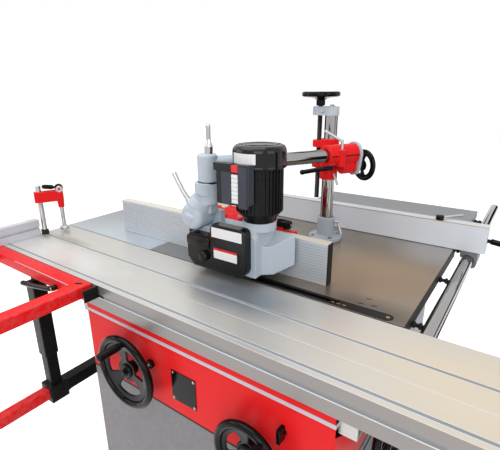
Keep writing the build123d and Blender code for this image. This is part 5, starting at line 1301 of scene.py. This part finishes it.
def place_camera():
    """The photograph's viewing point: turned left, tipped down, with a slight roll."""
    turn, tip, roll = (math.radians(angle) for angle in (35.52, 18.09, 0.37))
    ahead = Vector((-math.sin(turn), math.cos(turn), 0))
    side = Vector((math.cos(turn), math.sin(turn), 0))
    up = Vector(UP)
    forward = ahead * math.cos(tip) - up * math.sin(tip)
    lifted = up * math.cos(tip) + ahead * math.sin(tip)
    right = side * math.cos(roll) - lifted * math.sin(roll)
    top = lifted * math.cos(roll) + side * math.sin(roll)
    made = bpy.data.objects.new("camera", bpy.data.cameras.new("camera"))
    made.data.sensor_width = 36.0
    made.data.lens = 29.27
    made.data.clip_end = 50.0
    facing = Matrix((right, top, -forward)).transposed().to_4x4()
    standpoint = (0.7291, -1.119, 1.438)
    made.matrix_world = Matrix.Translation(standpoint) @ facing
    bpy.context.scene.collection.objects.link(made)
    bpy.context.scene.camera = made


def softbox(name, place, aim, size, power):
    """A large square lamp that faces a point."""
    lamp = bpy.data.lights.new(name, "AREA")
    lamp.shape = "SQUARE"
    lamp.size = size
    lamp.energy = power
    made = bpy.data.objects.new(name, lamp)
    made.location = place
    made.rotation_euler = (Vector(aim) - Vector(place)).to_track_quat("-Z", "Y").to_euler()
    bpy.context.scene.collection.objects.link(made)


def dark_card(name, low, high):
    """A black card that only mirror-like surfaces see, for the dark lines in bright metal."""
    bm = bmesh.new()
    brick(bm, low, high)
    mesh = mesh_of(bm, name)
    mesh.materials.append(slot_dark)
    card = shown(name, mesh)
    card.visible_camera = card.visible_diffuse = card.visible_shadow = False


def white_world(ambient):
    """White to the eye and in reflections, and a soft even light on the surfaces."""
    world = bpy.data.worlds.new("studio")
    bpy.context.scene.world = world
    world.use_nodes = True
    tree = world.node_tree
    back = tree.nodes["Background"]
    back.inputs["Color"].default_value = (1, 1, 1, 1)
    tree.links.new(remap(tree, seen_plainly(tree), 0.0, 1.0, ambient, 1.0), back.inputs["Strength"])


def pale_floor(size):
    """A plain white floor that keeps the shadow of what stands on it."""
    made, tree, shader, place = new_material("floor_white")
    tone = blend(tree, noise(tree, place, 0.8), (0.93, 0.93, 0.93, 1), (0.95, 0.95, 0.95, 1))
    tree.links.new(tone, shader.inputs["Base Color"])
    shader.inputs["Roughness"].default_value = 0.9
    shader.inputs["Emission Color"].default_value = (1, 1, 1, 1)
    glow = remap(tree, seen_plainly(tree), 0.0, 1.0, 0.0, 0.6)
    tree.links.new(glow, shader.inputs["Emission Strength"])
    bm = bmesh.new()
    bmesh.ops.create_grid(bm, x_segments=8, y_segments=8, size=size)
    mesh = mesh_of(bm, "floor")
    mesh.materials.append(made)
    floor = shown("floor", mesh)


bpy.context.scene.view_settings.view_transform = "Standard"
place_camera()
white_world(0.5)
softbox("top_lamp", (-0.6, -0.4, 3.4), (-0.1, 0.1, 0.8), 2.6, 48.0)
softbox("front_lamp", (1.6, -3.0, 2.4), (0.0, -0.2, 0.8), 2.2, 40.0)
softbox("left_lamp", (-3.2, -1.8, 2.2), (0.0, 0.0, 0.9), 2.0, 22.0)
softbox("right_lamp", (3.4, -0.6, 2.2), (0.1, 0.0, 0.95), 1.8, 20.0)
pale_floor(12.0)
dark_card("left_card", (-3.4, -0.4, 0.05), (-3.3, 3.4, 1.35))
dark_card("right_card", (2.6, 0.5, 0.1), (2.7, 1.0, 1.6))
dark_card("low_card", (0.75, -0.3, 0.01), (3.2, 2.4, 0.03))
dark_card("back_card", (-3.4, 3.3, 1.35), (0.4, 3.4, 1.85))
dark_card("back_low_card", (0.9, 3.3, 0.75), (3.0, 3.4, 1.3))
